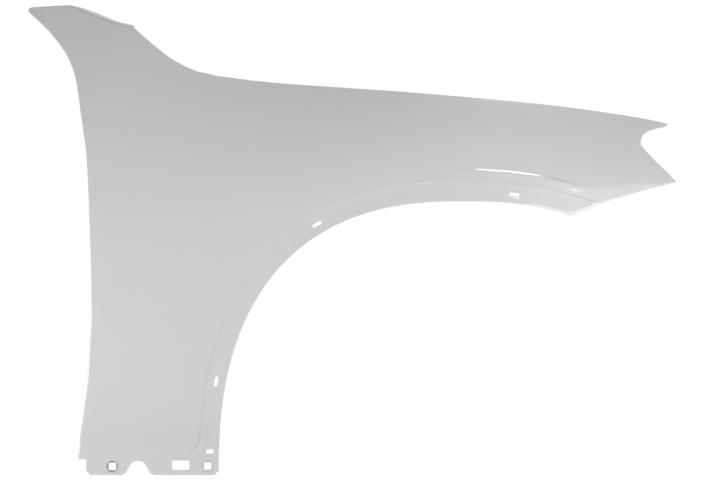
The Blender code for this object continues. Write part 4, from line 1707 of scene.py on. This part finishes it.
@dataclass(frozen=True)
class Lamp:
    """One area lamp: where it stands, what it looks at, its size and its power."""

    name: str
    place: tuple[float, float, float]
    size: Point
    watts: float
    aim: tuple[float, float, float] = (0.35, 0.0, 0.40)

    def hang(self) -> None:
        """Hang the lamp."""
        data = bpy.data.lights.new(self.name, "AREA")
        data.shape = "RECTANGLE"
        data.size, data.size_y = self.size
        data.energy = self.watts
        lamp = bpy.data.objects.new(self.name, data)
        bpy.context.scene.collection.objects.link(lamp)
        lamp.location = self.place
        lamp.rotation_euler = (Vector(self.aim) - lamp.location).to_track_quat("-Z", "Y").to_euler()


@dataclass(frozen=True)
class Studio:
    """The floor and the white backdrop, the room's light, the soft lamps and the camera.

    The room's range is the height of the sky over which its light rises, and its least
    and greatest strength.
    """

    floor_height: float = -0.12
    paper_width: float = 12.0
    floor_front: float = -4.0
    floor_back: float = 2.0
    backdrop_top: float = 5.0
    backdrop_bend: float = 1.2
    backdrop_steps: int = 40
    camera_place: tuple[float, float, float] = (0.3564, -10.0, 0.4086)
    lens: float = 277.8
    sensor_width: float = 36.0
    farthest: float = 100.0
    room_colour: str = "FFFFFF"
    room_range: tuple[float, float, float, float] = (0.0, 0.8, 0.02, 0.28)
    lamps: Sequence[Lamp] = (
        Lamp("right_low_softbox", (1.6, -1.7, 0.15), (1.2, 0.5), 18.0),
        Lamp("left_low_softbox", (-1.1, -1.5, 0.0), (1.6, 0.24), 13.5),
        Lamp("left_floor_softbox", (-2.2, -1.2, 0.1), (1.4, 0.4), 12.0),
        Lamp("right_softbox", (3.4, -1.6, 0.9), (1.4, 1.4), 18.0),
        Lamp("crease_strip", (0.98, 0.03, 2.5), (0.70, 0.36), 8.0, (0.98, 0.03, 0.0)),
    )

    def build(self) -> None:
        """Set the whole studio up."""
        self.lay_floor()
        self.hang_backdrop()
        for lamp in self.lamps:
            lamp.hang()
        self.light_world()
        self.set_camera()
        bpy.context.scene.view_settings.view_transform = "Standard"

    def lay_floor(self) -> None:
        """Lay the pale floor that the object's shadow falls on."""
        Bench.clear_selection()
        middle = (self.floor_front + self.floor_back) / 2
        bpy.ops.mesh.primitive_plane_add(location=(self.camera_place[0], middle, self.floor_height))
        floor = bpy.context.object
        floor.name = "floor"
        floor.scale = (self.paper_width / 2, (self.floor_back - self.floor_front) / 2, 1.0)
        floor.data.materials.append(PhotoPaper("pale_floor_paper", hung=False).make())

    def hang_backdrop(self) -> None:
        """Hang the backdrop, which bends up from the floor's far side."""
        Bench.clear_selection()
        bpy.ops.mesh.primitive_grid_add(
            x_subdivisions=2, y_subdivisions=self.backdrop_steps, size=1.0
        )
        backdrop = bpy.context.object
        backdrop.name = "backdrop"
        bend = self.backdrop_bend
        arc = bend * math.pi / 2
        for vert in backdrop.data.vertices:
            run = (vert.co.y + 0.5) * (arc + self.backdrop_top)
            turn = min(run / bend, math.pi / 2)
            y = self.floor_back + bend * math.sin(turn)
            z = self.floor_height + bend * (1.0 - math.cos(turn)) + max(run - arc, 0.0)
            vert.co = (vert.co.x * self.paper_width + self.camera_place[0], y, z)
        backdrop.data.materials.append(PhotoPaper("white_backdrop_paper", hung=True).make())
        bpy.ops.object.shade_smooth()

    def light_world(self) -> None:
        """Give the room its light, which is softer from above, and show it as white."""
        world = bpy.data.worlds.new("studio_room")
        bpy.context.scene.world = world
        bench = NodeBench(world)
        place = bench.add("ShaderNodeTexCoord")
        split = bench.add("ShaderNodeSeparateXYZ", links={0: (place, "Generated")})
        ends = zip(("From Min", "From Max", "To Min", "To Max"), self.room_range)
        height = bench.add(
            "ShaderNodeMapRange",
            {"interpolation_type": "SMOOTHSTEP", **dict(ends)},
            {"Value": (split, "Z")},
        )
        strength = bench.add(
            "ShaderNodeMix", {"B": 1.0}, {"Factor": bench.seen_rays(), "A": height}
        )
        colour = linear(self.room_colour)
        room = bench.add("ShaderNodeBackground", {"Color": colour}, {"Strength": strength})
        bench.add("ShaderNodeOutputWorld", links={"Surface": room})

    def set_camera(self) -> None:
        """Stand the camera straight in front, far off and with a long lens."""
        data = bpy.data.cameras.new("camera")
        data.type = "PERSP"
        data.sensor_width = self.sensor_width
        data.lens = self.lens
        data.clip_end = self.farthest
        camera = bpy.data.objects.new("camera", data)
        bpy.context.scene.collection.objects.link(camera)
        camera.location = self.camera_place
        camera.rotation_euler = (math.pi / 2, 0.0, 0.0)
        bpy.context.scene.camera = camera


def main() -> None:
    """Build the panel, dress it and set it in its studio."""
    skin = FenderSkin(SkinForm(), Folds(), MeshGrain())
    openings = Openings()
    panel = FenderPanel(skin, openings).build()
    # Each seat's middle, with how strongly shade is painted into its wall.
    seats = [skin.outline.place(share) for share in openings.seats]
    shaded_seats = [(*seat, share) for seat, share in zip(seats, openings.seat_shade_shares)]
    panel.data.materials.clear()
    panel.data.materials.append(BakedLacquer(shaded_seats=shaded_seats).make())
    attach(panel, "root")
    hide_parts("fender_panel")
    LOG.info("piece: %s", panel.name)
    Studio().build()


if __name__ == "__main__":
    main()
